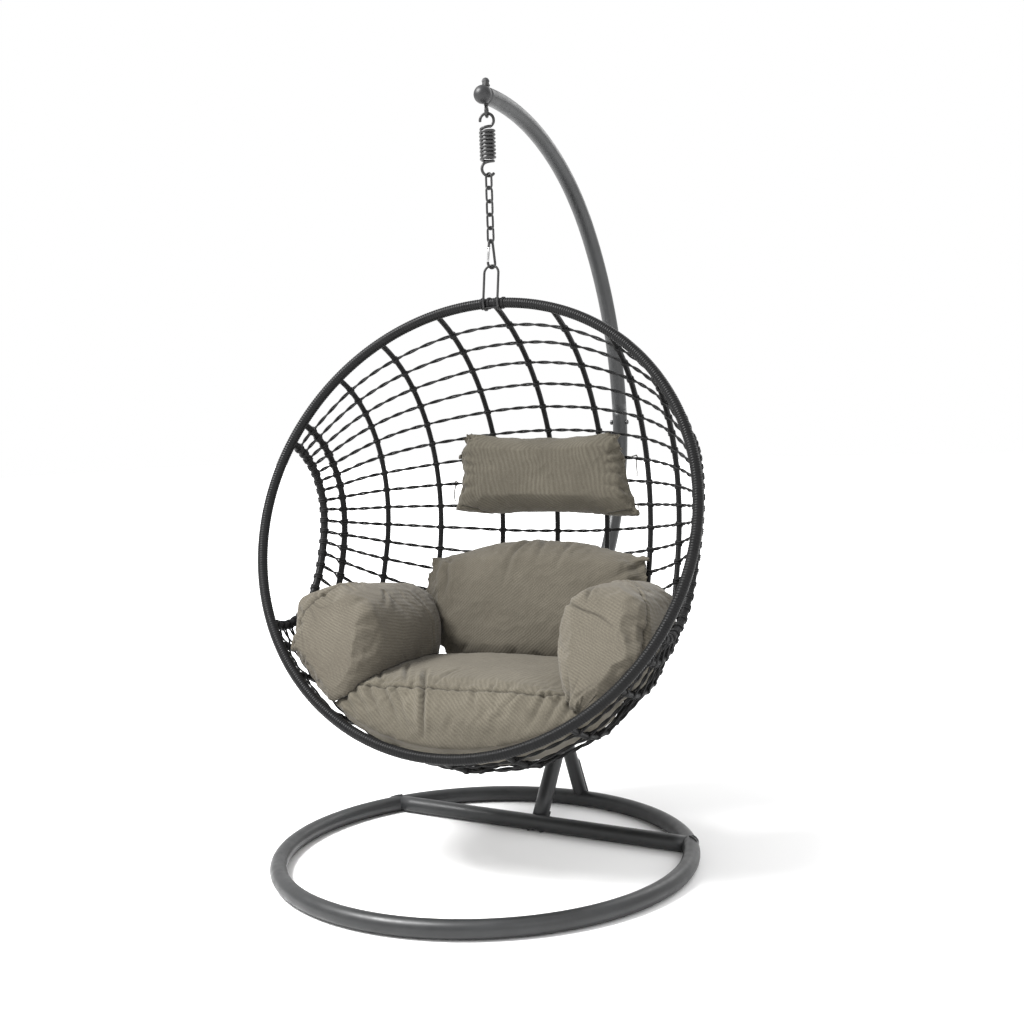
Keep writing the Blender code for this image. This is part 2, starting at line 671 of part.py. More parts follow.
def build_basket(swing, loop_top):
    woven = (BLACK, 0.5, 0.0)
    rim_top = loop_top - RIM_TOP_DROP
    bowl = Bowl(rim_top)
    circle = []
    for k in range(RIM_STEPS):
        a = 2 * math.pi * k / RIM_STEPS
        circle.append(bowl.place(RIM_RADIUS * math.sin(a), RIM_RADIUS * math.cos(a), 0.0))
    add_object("rim", rod_mesh("rim", circle, RIM_TUBE, 8, closed=True), woven, swing)
    for rib in rib_stations():
        add_object(rib.name, rod_mesh(rib.name, rib_points(bowl, rib), rib.wire, 6), woven, swing)
    for name, row_from, row_to in STRAND_GROUPS:
        strand = rod_mesh(name, strand_points(bowl, row_from, row_to), STRAND_WIRE, 5)
        add_object(name, strand, woven, swing)
    build_loop(swing, loop_top, rim_top)
    build_cushions(swing, bowl)
    build_ties(swing, bowl)


def build_cushions(swing, bowl):
    """Each cushion gives way to the ones under it, where they press on each other."""
    places = {}
    for name, (centre, half, tilt) in CUSHIONS.items():
        mesh = cushion_mesh(name, bowl, centre, half, tilt, CUSHION_CLEARANCE)
        cushion = add_object(name, mesh, (TAUPE, 0.95, 0.0), swing)
        for other in PRESSED_BY.get(name, ()):
            if other not in places:
                middle, size, lean = CUSHIONS[other]
                grown = [h + CUSHION_GAP for h in size]
                wide = cushion_mesh(other + "_place", bowl, middle, grown, lean, CUSHION_CLEARANCE - 0.004)
                places[other] = cutter(other + "_place", wide, swing)
            boolean(cushion, places[other], "DIFFERENCE")


def tie_points(bowl, side, row):
    """A tie's line: from the head pillow's end, once round a strand of the back, then hanging free."""
    stations = rib_stations()
    middle = len(stations) // 2
    t = row_angle(row)
    near = strand_crossing(bowl, stations, middle + side, t)
    outer = strand_crossing(bowl, stations, middle + 2 * side, t)
    round_strand = near.lerp(outer, (TIE_X - abs(near.x)) / (abs(outer.x) - abs(near.x)))
    pillow_end = Vector((side * PILLOW_END_X, round_strand.y - 0.020, round_strand.z + 0.003))
    line = [pillow_end]
    for across, y, z in TIE_PATH:
        line.append(round_strand + Vector((side * across, y, z)))
    return spline(line, 6)


def spline(points, steps):
    """A smooth curve through the points."""
    line = []
    for i in range(len(points) - 1):
        before = points[max(i - 1, 0)]
        start, end = points[i], points[i + 1]
        after = points[min(i + 2, len(points) - 1)]
        for k in range(steps):
            s = k / steps
            curve = 2 * start + (end - before) * s
            curve += (2 * before - 5 * start + 4 * end - after) * s**2
            curve += (3 * start - 3 * end + after - before) * s**3
            line.append(curve / 2)
    return line + [points[-1]]


def build_ties(swing, bowl):
    for name, side, row in (("pillow_tie_right", 1, TIE_ROWS[0]), ("pillow_tie_left", -1, TIE_ROWS[1])):
        points = tie_points(bowl, side, row)
        curve = bpy.data.curves.new(name, "CURVE")
        curve.dimensions = "3D"
        curve.bevel_depth = TIE_RADIUS
        curve.bevel_resolution = 2
        curve.use_fill_caps = True
        run = curve.splines.new("POLY")
        run.points.add(len(points) - 1)
        for knot, point in zip(run.points, points):
            knot.co = (*point, 1.0)
        tie = bpy.data.objects.new(name, curve)
        bpy.context.scene.collection.objects.link(tie)
        tie.parent = swing
        curve.materials.append(material(name, TAUPE, 0.95, 0.0))


def build_loop(swing, loop_top, rim_top):
    """An inverted U whose two legs come down in front of the rim and hook round below it."""
    clear = RIM_TUBE + LOOP_WIRE + 0.0010
    leg = []
    for k in range(9):
        a = math.radians(125 - 125 * k / 8)  # from behind and below the rim, round to its front
        leg.append((-clear * math.cos(a), rim_top - clear * math.sin(a)))
    path = [Vector((-LOOP_HALF_WIDTH, y, z)) for y, z in leg]
    shoulder = loop_top - LOOP_HALF_WIDTH
    for k in range(9):
        a = math.pi - math.pi * k / 8
        across, high = LOOP_HALF_WIDTH * math.cos(a), LOOP_HALF_WIDTH * math.sin(a)
        lean = -clear * (loop_top - shoulder - high) / (loop_top - rim_top)
        path.append(Vector((across, lean, shoulder + high)))
    path += [Vector((LOOP_HALF_WIDTH, y, z)) for y, z in reversed(leg)]
    steel = (DULL_STEEL, 0.45, 0.7)
    add_object("hanger_loop", rod_mesh("hanger_loop", path, LOOP_WIRE, 8), steel, swing)


def cushion_mesh(name, bowl, centre, half, tilt, clearance):
    work = bmesh.new()
    bmesh.ops.create_cube(work, size=2.0)
    bmesh.ops.subdivide_edges(work, edges=work.edges, cuts=5, use_grid_fill=True)
    turn = Matrix.Rotation(tilt, 3, "X")
    puff = PILLOW_PUFF if name.startswith("head") else PUFF
    for vertex in work.verts:
        size = sum(abs(c) ** puff for c in vertex.co) ** (1 / puff)
        point = Vector([c / size * h for c, h in zip(vertex.co, half)])
        vertex.co = bowl.inside(Vector(centre) + turn @ point, clearance)
    mesh = bpy.data.meshes.new(name)
    work.to_mesh(mesh)
    work.free()
    smooth(mesh)
    return mesh


def centre_on_origin(root):
    """Moves the whole chair so that its box stands centred on the origin."""
    bpy.context.view_layer.update()
    graph = bpy.context.evaluated_depsgraph_get()
    corners = []
    for piece in bpy.context.scene.objects:
        if piece.type != "MESH" or piece.hide_render:
            continue
        evaluated = piece.evaluated_get(graph)
        mesh = evaluated.to_mesh()
        corners += [evaluated.matrix_world @ v.co for v in mesh.vertices]
        evaluated.to_mesh_clear()
    for axis in (0, 1):
        values = [c[axis] for c in corners]
        root.location[axis] = -(min(values) + max(values)) / 2


def main():
    clear_scene()
    root = empty("chair", (0, 0, 0))
    tip = build_stand(root)
    line = empty("hanging_line", (0, HANG_Y, 0), 0.0, root)
    build_eye_bolt(line, tip.z)
    carabiner_top = build_chain(line)
    loop_top, hinge, normal = build_carabiner(line, carabiner_top)
    swing = empty("basket_swing", (0, HANG_Y, 0), BASKET_TURN, root)
    build_basket(swing, loop_top)
    centre_on_origin(root)


main()
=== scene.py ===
"""Looks of the hanging egg chair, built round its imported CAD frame."""
import math
from collections import namedtuple

import bmesh
import bpy
import numpy as np
from mathutils import Matrix, Vector, noise
from mathutils.bvhtree import BVHTree

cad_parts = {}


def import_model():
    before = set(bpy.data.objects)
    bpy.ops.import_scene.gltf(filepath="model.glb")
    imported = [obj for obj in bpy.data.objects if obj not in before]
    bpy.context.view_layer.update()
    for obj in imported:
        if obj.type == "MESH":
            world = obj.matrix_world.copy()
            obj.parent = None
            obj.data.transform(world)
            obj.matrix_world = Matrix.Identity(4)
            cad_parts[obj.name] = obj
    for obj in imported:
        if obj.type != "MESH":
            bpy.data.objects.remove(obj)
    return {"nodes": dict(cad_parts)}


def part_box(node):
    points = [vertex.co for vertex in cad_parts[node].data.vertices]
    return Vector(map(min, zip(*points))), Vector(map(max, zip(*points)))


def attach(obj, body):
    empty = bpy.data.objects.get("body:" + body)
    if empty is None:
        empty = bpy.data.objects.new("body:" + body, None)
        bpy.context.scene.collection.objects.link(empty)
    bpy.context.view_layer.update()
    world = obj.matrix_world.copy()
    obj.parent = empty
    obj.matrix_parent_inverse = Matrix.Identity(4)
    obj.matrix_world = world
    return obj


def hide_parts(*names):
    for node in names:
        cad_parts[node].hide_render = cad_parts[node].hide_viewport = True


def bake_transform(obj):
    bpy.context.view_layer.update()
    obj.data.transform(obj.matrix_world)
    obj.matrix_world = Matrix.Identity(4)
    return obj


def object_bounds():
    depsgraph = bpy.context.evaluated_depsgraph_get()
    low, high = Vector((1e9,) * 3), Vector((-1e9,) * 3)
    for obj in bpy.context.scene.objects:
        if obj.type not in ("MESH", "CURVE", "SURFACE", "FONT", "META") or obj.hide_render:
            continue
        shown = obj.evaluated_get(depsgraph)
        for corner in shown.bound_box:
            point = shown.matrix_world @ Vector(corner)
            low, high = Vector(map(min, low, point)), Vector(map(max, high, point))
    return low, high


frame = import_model()
cad_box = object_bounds()
NOISE = np.random.default_rng(7)

# ------------------------------------------------------------------ sizes, in metres
# Every z is above the floor. A mast or strut point is (y, z), with y measured from the ring's centre.
ring_low, ring_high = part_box("base_ring")
RING_X, RING_Y = (ring_low.x + ring_high.x) / 2, (ring_low.y + ring_high.y) / 2
TUBE_RADIUS = 0.0212
RING_RADIUS = 0.504
CROSS_TUBE_Y = 0.2538
MAST_FOOT = (0.268, 0.0212)
MAST_LEAN = math.radians(33.7)
MAST_LEG = 0.797
LOWER_BEND_RADIUS = 0.661
MIDDLE_ARC = (0.961, math.radians(35.3))
TOP_ARC = (0.641, math.radians(54.5))
SPIGOT_STEP = 0.0016
SPIGOT_REACH = 0.010
SEAM_WIDTH = 0.0012
MAST_SPLIT_TURN = math.radians(3.0)
MAST_TIP_Y = 0.1120
WELD_RADIUS = 0.0026
WELD_LIFT = 0.001
STRUT_RADIUS = 0.019
STRUT_FOOT = (0.511, 0.026)
STRUT_HEAD = (0.415, 0.236)
BALL_RADIUS = 0.0228
GAP = 0.0003
HANG_Y = 0.120
EYE_TURN = math.radians(112)
EYE_Z = 1.8385
EYE_RADIUS = 0.0125
EYE_WIRE = 0.004
BOLT_RADIUS = 0.0042
HOOK_RADIUS = 0.017
HOOK_NECK = 0.0055
SPRING_WIRE = 0.0037
COIL_RADIUS = 0.0168
COIL_PITCH = 0.0091
COIL_TURNS = 8
UPPER_HOOK_TURN = math.radians(22)
LOWER_HOOK_TURN = math.radians(52)
LINK_WIRE = 0.00275
LINK_LENGTH = 0.0385
LINK_HALF_WIDTH = 0.0095
LINK_TURNS = [math.radians(a) for a in (-15, 75, -13, 77, -11)]
CARABINER_WIRE = 0.0032
CARABINER_TURN = math.radians(79)
CARABINER_LENGTH = 0.0687
CARABINER_TOP_RADIUS = 0.0065
CARABINER_FOOT_RADIUS = 0.013
CARABINER_SPAN = CARABINER_LENGTH - CARABINER_TOP_RADIUS - CARABINER_FOOT_RADIUS
CARABINER_SLOPE = math.asin((CARABINER_FOOT_RADIUS - CARABINER_TOP_RADIUS) / CARABINER_SPAN)
LOOP_WIRE = 0.003
LOOP_HALF_WIDTH = 0.019
BASKET_TURN = math.radians(7.6)
RIM_RADIUS = 0.5610
RIM_TUBE = 0.012
RIM_TOP_DROP = 0.0925
RIM_LEAN = math.radians(20.7)
RIBS = (
    # name, distance from the middle at the rim's top and foot, depth behind the rim
    ("near", 0.155, 0.155, 0.578),
    ("mid", 0.305, 0.305, 0.487),
    ("side", 0.413, 0.413, 0.376),
    ("far", 0.497, 0.466, 0.262),
)
CENTRE_DEPTH = 0.605
ARM_FRAME = (0.521, 0.496, 0.200)
SEAT_SAG = 0.070
FRONT_PLANE = 0.002
CUSHION_SPAN = 0.470
STRAND_ROWS = 23
TOP_ROW_DROP = 0.45
STRAND_GROUPS = (
    ("weave_top", 1, 5),
    ("weave_upper_back", 6, 10),
    ("weave_lower_back", 11, 14),
    ("weave_seat", 15, 19),
    ("weave_front", 20, 23),
)
RIB_SKIN = 0.0068
FAR_SKIN = 0.0080
ARM_SKIN = 0.0096
STRAND = 0.0023
STRAND_TWIST = 0.045
KNOT_REACH = 0.0085
KNOT_LEAN = math.radians(38)
RIM_BAND = 0.0062
RIB_BAND = 0.0046
RIB_PITCH = 0.0062
THREAD_PITCH = 0.0016
CAD_RIB = 0.006
CAD_STRAND = 0.0025
CAD_STRAND_GAP = 0.0012

ORIGIN = Vector((RING_X, RING_Y, 0.0))
HANG = ORIGIN + Vector((0.0, HANG_Y, 0.0))
SWING = Matrix.Translation(HANG) @ Matrix.Rotation(BASKET_TURN, 4, "Z")


# ------------------------------------------------------------------ materials
class Nodes:
    """A small helper for writing shader trees."""

    def __init__(self, name):
        self.material = bpy.data.materials.new(name)
        self.material.use_nodes = True
        self.tree = self.material.node_tree
        self.shader = self.tree.nodes["Principled BSDF"]

    def plug(self, value, socket):
        """Links a socket to another, or sets it to a number, vector or colour. None leaves it as it is."""
        if isinstance(value, bpy.types.NodeSocket):
            self.tree.links.new(value, socket)
        elif value is not None:
            socket.default_value = (*value, 1.0) if socket.type == "RGBA" else value

    def add(self, kind, inputs=None, **settings):
        node = self.tree.nodes.new(kind)
        for key, value in settings.items():
            setattr(node, key, value)
        for key, value in (inputs or {}).items():
            self.plug(value, node.inputs[key])
        return node

    def coords(self, scale=(1, 1, 1), kind="Object"):
        source = self.add("ShaderNodeTexCoord").outputs[kind]
        return self.add("ShaderNodeMapping", {"Vector": source, "Scale": scale}).outputs["Vector"]

    def pointiness(self):
        return self.add("ShaderNodeNewGeometry").outputs["Pointiness"]

    def noise(self, vector, scale, detail=4.0, rough=0.5):
        inputs = {"Vector": vector, "Scale": scale, "Detail": detail, "Roughness": rough}
        return self.add("ShaderNodeTexNoise", inputs).outputs["Fac"]

    def wave(self, vector, pitch, direction, **more):
        """Bands pitch apart. A wave texture of scale 1 repeats every 0.314."""
        inputs = {"Vector": vector, "Scale": 0.314 / pitch, **more}
        bands = self.add("ShaderNodeTexWave", inputs, wave_type="BANDS", bands_direction=direction)
        return bands.outputs["Fac"]

    def ramp(self, value, stops):
        node = self.add("ShaderNodeValToRGB", {"Fac": value})
        ramp = node.color_ramp
        while len(ramp.elements) < len(stops):
            ramp.elements.new(0.5)
        for element, (at, colour) in zip(ramp.elements, stops):
            element.position = at
            element.color = (*colour, 1.0)
        return node.outputs["Color"]

    def remap(self, value, low, high, from_low=0.0, from_high=1.0):
        inputs = {"Value": value, "From Min": from_low, "From Max": from_high, "To Min": low, "To Max": high}
        return self.add("ShaderNodeMapRange", inputs).outputs["Result"]

    def mix(self, factor, a, b):
        return self.add("ShaderNodeMix", {0: factor, 6: a, 7: b}, data_type="RGBA").outputs[2]

    def maths(self, operation, a, b):
        return self.add("ShaderNodeMath", {0: a, 1: b}, operation=operation).outputs[0]

    def bump(self, height, distance, strength, normal=None):
        inputs = {"Height": height, "Distance": distance, "Strength": strength, "Normal": normal}
        return self.add("ShaderNodeBump", inputs).outputs["Normal"]

    def finish(self, colour, roughness, normal=None, metallic=0.0, specular=0.5):
        values = {"Base Color": colour, "Roughness": roughness, "Normal": normal, "Metallic": metallic,
                  "Specular IOR Level": specular}
        for name, value in values.items():
            self.plug(value, self.shader.inputs[name])
        return self.material


def shade(colour, factor):
    return tuple(min(1.0, c * factor) for c in colour)


def powder_coat(name, dark, light, roughness, grain=900.0, metallic=0.0, specular=0.4):
    """Powder coated steel: a soft orange peel, faint mottling and dust, and rubbed edges."""
    n = Nodes(name)
    here = n.coords()
    mottle = n.noise(here, 9.0, 6.0, 0.6)
    fine = n.noise(here, grain, 2.0, 0.5)
    peel = n.noise(here, grain * 0.35, 2.0, 0.5)
    base = n.ramp(mottle, ((0.30, dark), (0.72, light)))
    speck = n.remap(fine, 0.0, 1.0, 0.60, 0.72)
    colour = n.mix(n.maths("MULTIPLY", speck, 0.35), base, shade(light, 1.55))
    worn = n.remap(n.pointiness(), 0.0, 0.55, 0.53, 0.60)
    colour = n.mix(worn, colour, shade(light, 2.2))
    rough = n.remap(n.noise(here, 30.0, 5.0, 0.6), roughness - 0.06, roughness + 0.10, 0.3, 0.7)
    normal = n.bump(peel, 0.00012, 0.25)
    normal = n.bump(fine, 0.00005, 0.15, normal)
    return n.finish(colour, rough, normal, metallic, specular)


def wicker(name, dark, light, roughness, specular):
    """Synthetic wicker: fine lengthwise drag lines, uneven gloss, a painted highlight on its crowns and
    painted shade in its hollows.
    """
    n = Nodes(name)
    lines = n.noise(n.coords((90.0, 1400.0, 1.0), "UV"), 1.0, 3.0, 0.6)
    patch = n.noise(n.coords(), 26.0, 5.0, 0.6)
    base = n.ramp(patch, ((0.25, dark), (0.78, light)))
    colour = n.mix(n.remap(lines, 0.0, 0.35, 0.35, 0.75), base, shade(light, 1.9))
    point = n.pointiness()
    # painted highlight: lighter where the surface is convex, on its crowns
    colour = n.mix(n.remap(point, 0.0, 0.5, 0.52, 0.62), colour, shade(light, 2.0))
    # painted shade: darker where the surface is concave, in its hollows
    colour = n.mix(n.remap(point, 0.75, 0.0, 0.38, 0.49), colour, (0.004, 0.004, 0.004))
    rough = n.remap(patch, roughness - 0.08, roughness + 0.12, 0.3, 0.7)
    return n.finish(colour, rough, n.bump(lines, 0.00030, 0.5), 0.0, specular)


def fabric(name, dark, light, turn):
    """Outdoor canvas: a fine over-and-under weave, with a broad rib that shows as soft stripes.
    Each cover's crease attribute says where shade is painted into a fold or seam."""
    n = Nodes(name)
    n.shader.inputs["Sheen Weight"].default_value = 0.10
    n.shader.inputs["Sheen Roughness"].default_value = 0.5
    here = n.coords()
    drift = n.add("ShaderNodeTexNoise", {"Vector": here, "Scale": 5.0}).outputs["Color"]
    bent = n.add("ShaderNodeMix", {0: 0.035, 4: here, 5: drift}, data_type="VECTOR").outputs[1]
    laid = n.add("ShaderNodeMapping", {"Vector": bent, "Rotation": turn}).outputs["Vector"]
    stripes = n.wave(laid, RIB_PITCH, "X", **{"Distortion": 1.2, "Detail": 3.0, "Detail Scale": 2.5})
    threads = [n.wave(laid, THREAD_PITCH, direction, Distortion=0.6) for direction in "XYZ"]
    weave = n.maths("MULTIPLY", n.maths("ADD", n.maths("ADD", threads[0], threads[1]), threads[2]), 0.333)
    fading = n.remap(n.noise(here, 13.0, 3.0, 0.5), 0.12, 0.60, 0.32, 0.68)
    band = n.maths("ADD", n.maths("MULTIPLY", stripes, fading), n.maths("MULTIPLY", weave, 0.55))
    blotch = n.noise(here, 7.0, 5.0, 0.6)
    speck = n.noise(here, 420.0, 2.0, 0.5)
    base = n.mix(band, dark, light)
    base = n.mix(n.remap(blotch, 0.0, 0.30, 0.35, 0.70), base, shade(dark, 0.80))
    base = n.mix(n.remap(speck, 0.0, 0.28, 0.50, 0.70), base, shade(light, 1.35))
    # painted shade: folds and seams are darkened by each cover's crease attribute
    crease = n.add("ShaderNodeAttribute", attribute_name="crease").outputs["Fac"]
    colour = n.mix(crease, base, shade(dark, 0.22))
    normal = n.bump(stripes, 0.0007, 0.5)
    normal = n.bump(weave, 0.0004, 0.5, normal)
    return n.finish(colour, 0.93, normal, 0.0, 0.12)


COAT = powder_coat("stand_coat", (0.013, 0.0135, 0.014), (0.022, 0.023, 0.024), 0.38, specular=0.50)
STOPPER = powder_coat("stopper_plastic", (0.010, 0.010, 0.011), (0.018, 0.018, 0.019), 0.45, 500.0)
HARDWARE = powder_coat("hardware_coat", (0.012, 0.012, 0.012), (0.026, 0.026, 0.026), 0.36, 700.0, 0.25)
STEEL = powder_coat("bare_steel", (0.22, 0.22, 0.22), (0.42, 0.42, 0.42), 0.32, 600.0, 0.9)
WICKER = wicker("wicker", (0.0038, 0.0038, 0.0040), (0.0080, 0.0080, 0.0082), 0.38, 0.13)
TIE_CORD = wicker("tie_cord", (0.030, 0.027, 0.022), (0.055, 0.050, 0.042), 0.85, 0.2)
STRING = wicker("wicker_strand", (0.0050, 0.0050, 0.0052), (0.0100, 0.0100, 0.0102), 0.46, 0.16)


# ------------------------------------------------------------------ mesh tools
def new_piece(name, vertices, faces, uvs, material, body):
    """A smooth-shaded piece that rides on a body, or on none yet."""
    mesh = bpy.data.meshes.new(name)
    mesh.from_pydata([tuple(v) for v in vertices], [], faces)
    layer = mesh.uv_layers.new(name="UVMap")
    layer.data.foreach_set("uv", np.asarray(uvs, np.float32).ravel())
    mesh.materials.append(material)
    mesh.update()
    mesh.shade_smooth()
    piece = bpy.data.objects.new(name, mesh)
    bpy.context.scene.collection.objects.link(piece)
    if body is not None:
        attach(piece, body)
    return piece


def carried_frames(points, closed):
    """Two directions across the line at each point, carried along it without twist."""
    count = len(points)
    if closed:
        tangents = np.roll(points, -1, 0) - np.roll(points, 1, 0)
    else:
        tangents = np.gradient(points, axis=0)
    tangents /= np.linalg.norm(tangents, axis=1)[:, None]
    side = np.array((0.123, 0.456, 0.881))
    sides = np.empty_like(points)
    for i in range(count):
        side = side - tangents[i] * side.dot(tangents[i])
        side /= np.linalg.norm(side)
        sides[i] = side
    ups = np.cross(tangents, sides)
    if closed:
        end = sides[-1] - tangents[0] * sides[-1].dot(tangents[0])
        slip = math.atan2(end.dot(ups[0]), end.dot(sides[0]))
        a = -slip * np.arange(count) / count
        c, s = np.cos(a)[:, None], np.sin(a)[:, None]
        sides, ups = c * sides + s * ups, c * ups - s * sides
    return sides, ups


UV_GIRTH = 0.05
END_RINGS = ((0.42, 0.55), (0.30, 0.86))


def rounded_ends(points, radius):
    """Adds two narrowing rings past each end. END_RINGS holds how far past and how wide each is, in radii."""
    most = float(np.max(radius))
    ahead, behind = points[0] - points[1], points[-1] - points[-2]
    ahead /= np.linalg.norm(ahead)
    behind /= np.linalg.norm(behind)
    front = [points[0] + ahead * most * past for past, _ in END_RINGS]
    back = [points[-1] + behind * most * past for past, _ in reversed(END_RINGS)]
    first, last = np.ravel(radius)[0], np.ravel(radius)[-1]
    narrowing = [first * wide for _, wide in END_RINGS]
    closing = [last * wide for _, wide in reversed(END_RINGS)]
    radius = np.concatenate([narrowing, np.broadcast_to(radius, len(points)), closing])
    return np.vstack([front, points, back]), radius


class Sheaf:
    """Collects swept rods and balls, so that many become one piece."""

    def __init__(self):
        self.vertices, self.faces, self.uvs, self.count = [], [], [], 0

    def rod(self, points, radius, sides=12, closed=False, shape=None, round_ends=True):
        """Sweeps a ring along points. radius is a number or one per point; shape(length, turn) adds to it."""
        points = np.asarray([tuple(p) for p in points], float)
        if round_ends and not closed:
            points, radius = rounded_ends(points, radius)
        across, ups = carried_frames(points, closed)
        n = len(points)
        turn = 2 * np.pi * np.arange(sides) / sides
        steps = np.linalg.norm(np.diff(points, axis=0), axis=1)
        s = np.concatenate([[0.0], np.cumsum(steps)])
        r = np.broadcast_to(np.asarray(radius, float).reshape(-1, 1), (n, sides)).copy()
        if shape is not None:
            r = r + shape(s[:, None], turn[None, :])
        cos, sin = np.cos(turn)[None, :, None], np.sin(turn)[None, :, None]
        ring = cos * across[:, None, :] + sin * ups[:, None, :]
        self.vertices.append((points[:, None, :] + ring * r[:, :, None]).reshape(-1, 3))
        index = self.count + np.arange(n * sides).reshape(n, sides)
        rows = index if closed else index[:-1]
        below = np.roll(index, -1, 0) if closed else index[1:]
        quads = np.stack([rows, np.roll(rows, -1, 1), np.roll(below, -1, 1), below], axis=-1)
        self.faces += quads.reshape(-1, 4).tolist()
        total = s[-1] + np.linalg.norm(points[0] - points[-1])
        ends = np.concatenate([s[1:], [total]]) if closed else s[1:]
        u0 = (s if closed else s[:-1])[:, None].repeat(sides, 1)
        u1 = ends[:, None].repeat(sides, 1)
        v0 = (turn / (2 * np.pi) * UV_GIRTH)[None, :].repeat(len(u0), 0)
        v1 = v0 + UV_GIRTH / sides
        corners = [np.stack(corner, -1) for corner in ((u0, v0), (u0, v1), (u1, v1), (u1, v0))]
        self.uvs.append(np.stack(corners, 2).reshape(-1, 2))
        self.count += n * sides
        if not closed:
            for face in (index[0].tolist()[::-1], index[-1].tolist()):
                self.faces.append(face)
                self.uvs.append(np.zeros((sides, 2)))
        return self

    def ball(self, centre, radius, rings, sides):
        centre = np.asarray(tuple(centre), float)
        vertices = [centre - np.array((0, 0, radius))]
        for k in range(1, rings):
            a = math.pi * k / rings - math.pi / 2
            for m in range(sides):
                b = 2 * math.pi * m / sides
                unit = np.array((math.cos(a) * math.cos(b), math.cos(a) * math.sin(b), math.sin(a)))
                vertices.append(centre + unit * radius)
        vertices.append(centre + np.array((0, 0, radius)))
        first, last = self.count + 1, self.count + len(vertices) - 1
        faces = []
        for m in range(sides):
            t = (m + 1) % sides
            faces.append([self.count, first + t, first + m])
            for k in range(rings - 2):
                a = first + k * sides
                faces.append([a + m, a + t, a + sides + t, a + sides + m])
            a = first + (rings - 2) * sides
            faces.append([a + m, a + t, last])
        self.faces += faces
        self.uvs += [np.zeros((len(face), 2)) for face in faces]
        self.vertices.append(np.array(vertices))
        self.count += len(vertices)
        return self

    def piece(self, name, material, body, slot, nodes=(), floor=None):
        """Makes the piece, which stands for the CAD nodes. floor is the lowest that a point may lie."""
        vertices = np.vstack(self.vertices)
        if floor is not None:
            vertices[:, 2] = np.maximum(vertices[:, 2], floor)
        made = new_piece(name, vertices, self.faces, np.vstack(self.uvs), material, body)
        if nodes:
            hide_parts(*nodes)
        return made


def winding(pitch, height, sharp):
    """The shape of a band wound round a rod: nearly flat, with a groove where its edges meet."""

    def shape(s, turn):
        share = (s / pitch - turn / (2 * np.pi)) % 1.0
        return height * (0.5 - np.abs(2 * share - 1) ** sharp)

    return shape


def between(a, b, c, d, t):
    """The point at share t from b to c, on the smooth curve through a, b, c and d."""
    square = (2 * a - 5 * b + 4 * c - d) * t**2
    cube = (3 * b - 3 * c + d - a) * t**3
    return 0.5 * (2 * b + (c - a) * t + square + cube)


def spline(points, step, closed=False):
    """A smooth curve through points, sampled about every step."""
    p = np.asarray([tuple(q) for q in points], float)
    n = len(p)
    out = []
    spans = n if closed else n - 1
    for i in range(spans):
        b, c = p[i], p[(i + 1) % n]
        a = p[i - 1] if i or closed else b - (c - b)
        d = p[(i + 2) % n] if i + 2 < n or closed else c + (c - b)
        count = max(1, round(np.linalg.norm(c - b) / step))
        for k in range(count):
            out.append(between(a, b, c, d, k / count))
    if not closed:
        out.append(p[-1])
    return np.array(out)


def straight(a, b, count):
    a, b = np.array(tuple(a)), np.array(tuple(b))
    return [a + (b - a) * k / count for k in range(count + 1)]


# ------------------------------------------------------------------ stand
def plane(y, z):
    return ORIGIN + Vector((0.0, y, z))


def mast_line():
    """The mast's middle line from its foot to its tip, and the index of the seam between its two tubes."""
    y, z = MAST_FOOT
    heading = MAST_LEAN
    rise = (math.sin(heading), math.cos(heading))
    points = [plane(y + MAST_LEG * rise[0] * k / 12, z + MAST_LEG * rise[1] * k / 12) for k in range(13)]
    y += MAST_LEG * rise[0]
    z += MAST_LEG * rise[1]
    middle, middle_turn = MIDDLE_ARC
    lower_arcs = ((LOWER_BEND_RADIUS, MAST_LEAN, 18), (middle, MAST_SPLIT_TURN, 3))
    upper_arcs = ((middle, middle_turn - MAST_SPLIT_TURN, 26), (*TOP_ARC, 34))
    for radius, turn, steps in lower_arcs + upper_arcs:
        middle_y = y - radius * math.cos(heading)
        middle_z = z + radius * math.sin(heading)
        for k in range(1, steps + 1):
            a = heading - turn * k / steps
            points.append(plane(middle_y + radius * math.cos(a), middle_z - radius * math.sin(a)))
        y, z = points[-1].y - RING_Y, points[-1].z
        heading -= turn
    points.append(plane(MAST_TIP_Y, z))
    return points, 12 + sum(steps for *_, steps in lower_arcs)


def weld_bead(sheaf, centre, axis, radius, other, reach):
    """A fillet of weld round a tube whose line is axis through centre, where it meets the tube other:
    (a point of its line, its direction, its radius). The search runs reach to either side of centre."""
    axis = np.array(tuple(axis)) / np.linalg.norm(tuple(axis))
    side = np.cross(axis, (0.3, 0.5, 0.8))
    side /= np.linalg.norm(side)
    up = np.cross(axis, side)
    base, direction, size = np.array(tuple(other[0])), np.array(tuple(other[1])), other[2]
    direction = direction / np.linalg.norm(direction)
    points = []
    for k in range(72):
        a = 2 * math.pi * k / 72
        start = np.array(tuple(centre)) + (radius + WELD_LIFT) * (math.cos(a) * side + math.sin(a) * up)
        met = start
        for j in range(120):
            here = start + axis * (reach * (1 - j / 60))
            q = here - base
            if np.linalg.norm(q - direction * q.dot(direction)) < size + WELD_LIFT:
                met = here
                break
        points.append(met)

    def ripples(s, turn):
        return 0.0005 * np.sin(2 * np.pi * s / 0.0044)

    sheaf.rod(spline(points, 0.0022, True), WELD_RADIUS, 8, True, ripples)


def steel_tube(name, points, radius, sides, nodes, closed=False):
    tube = Sheaf().rod(points, radius, sides, closed, round_ends=False)
    tube.piece(name, COAT, "stand", "stand_steel", nodes)


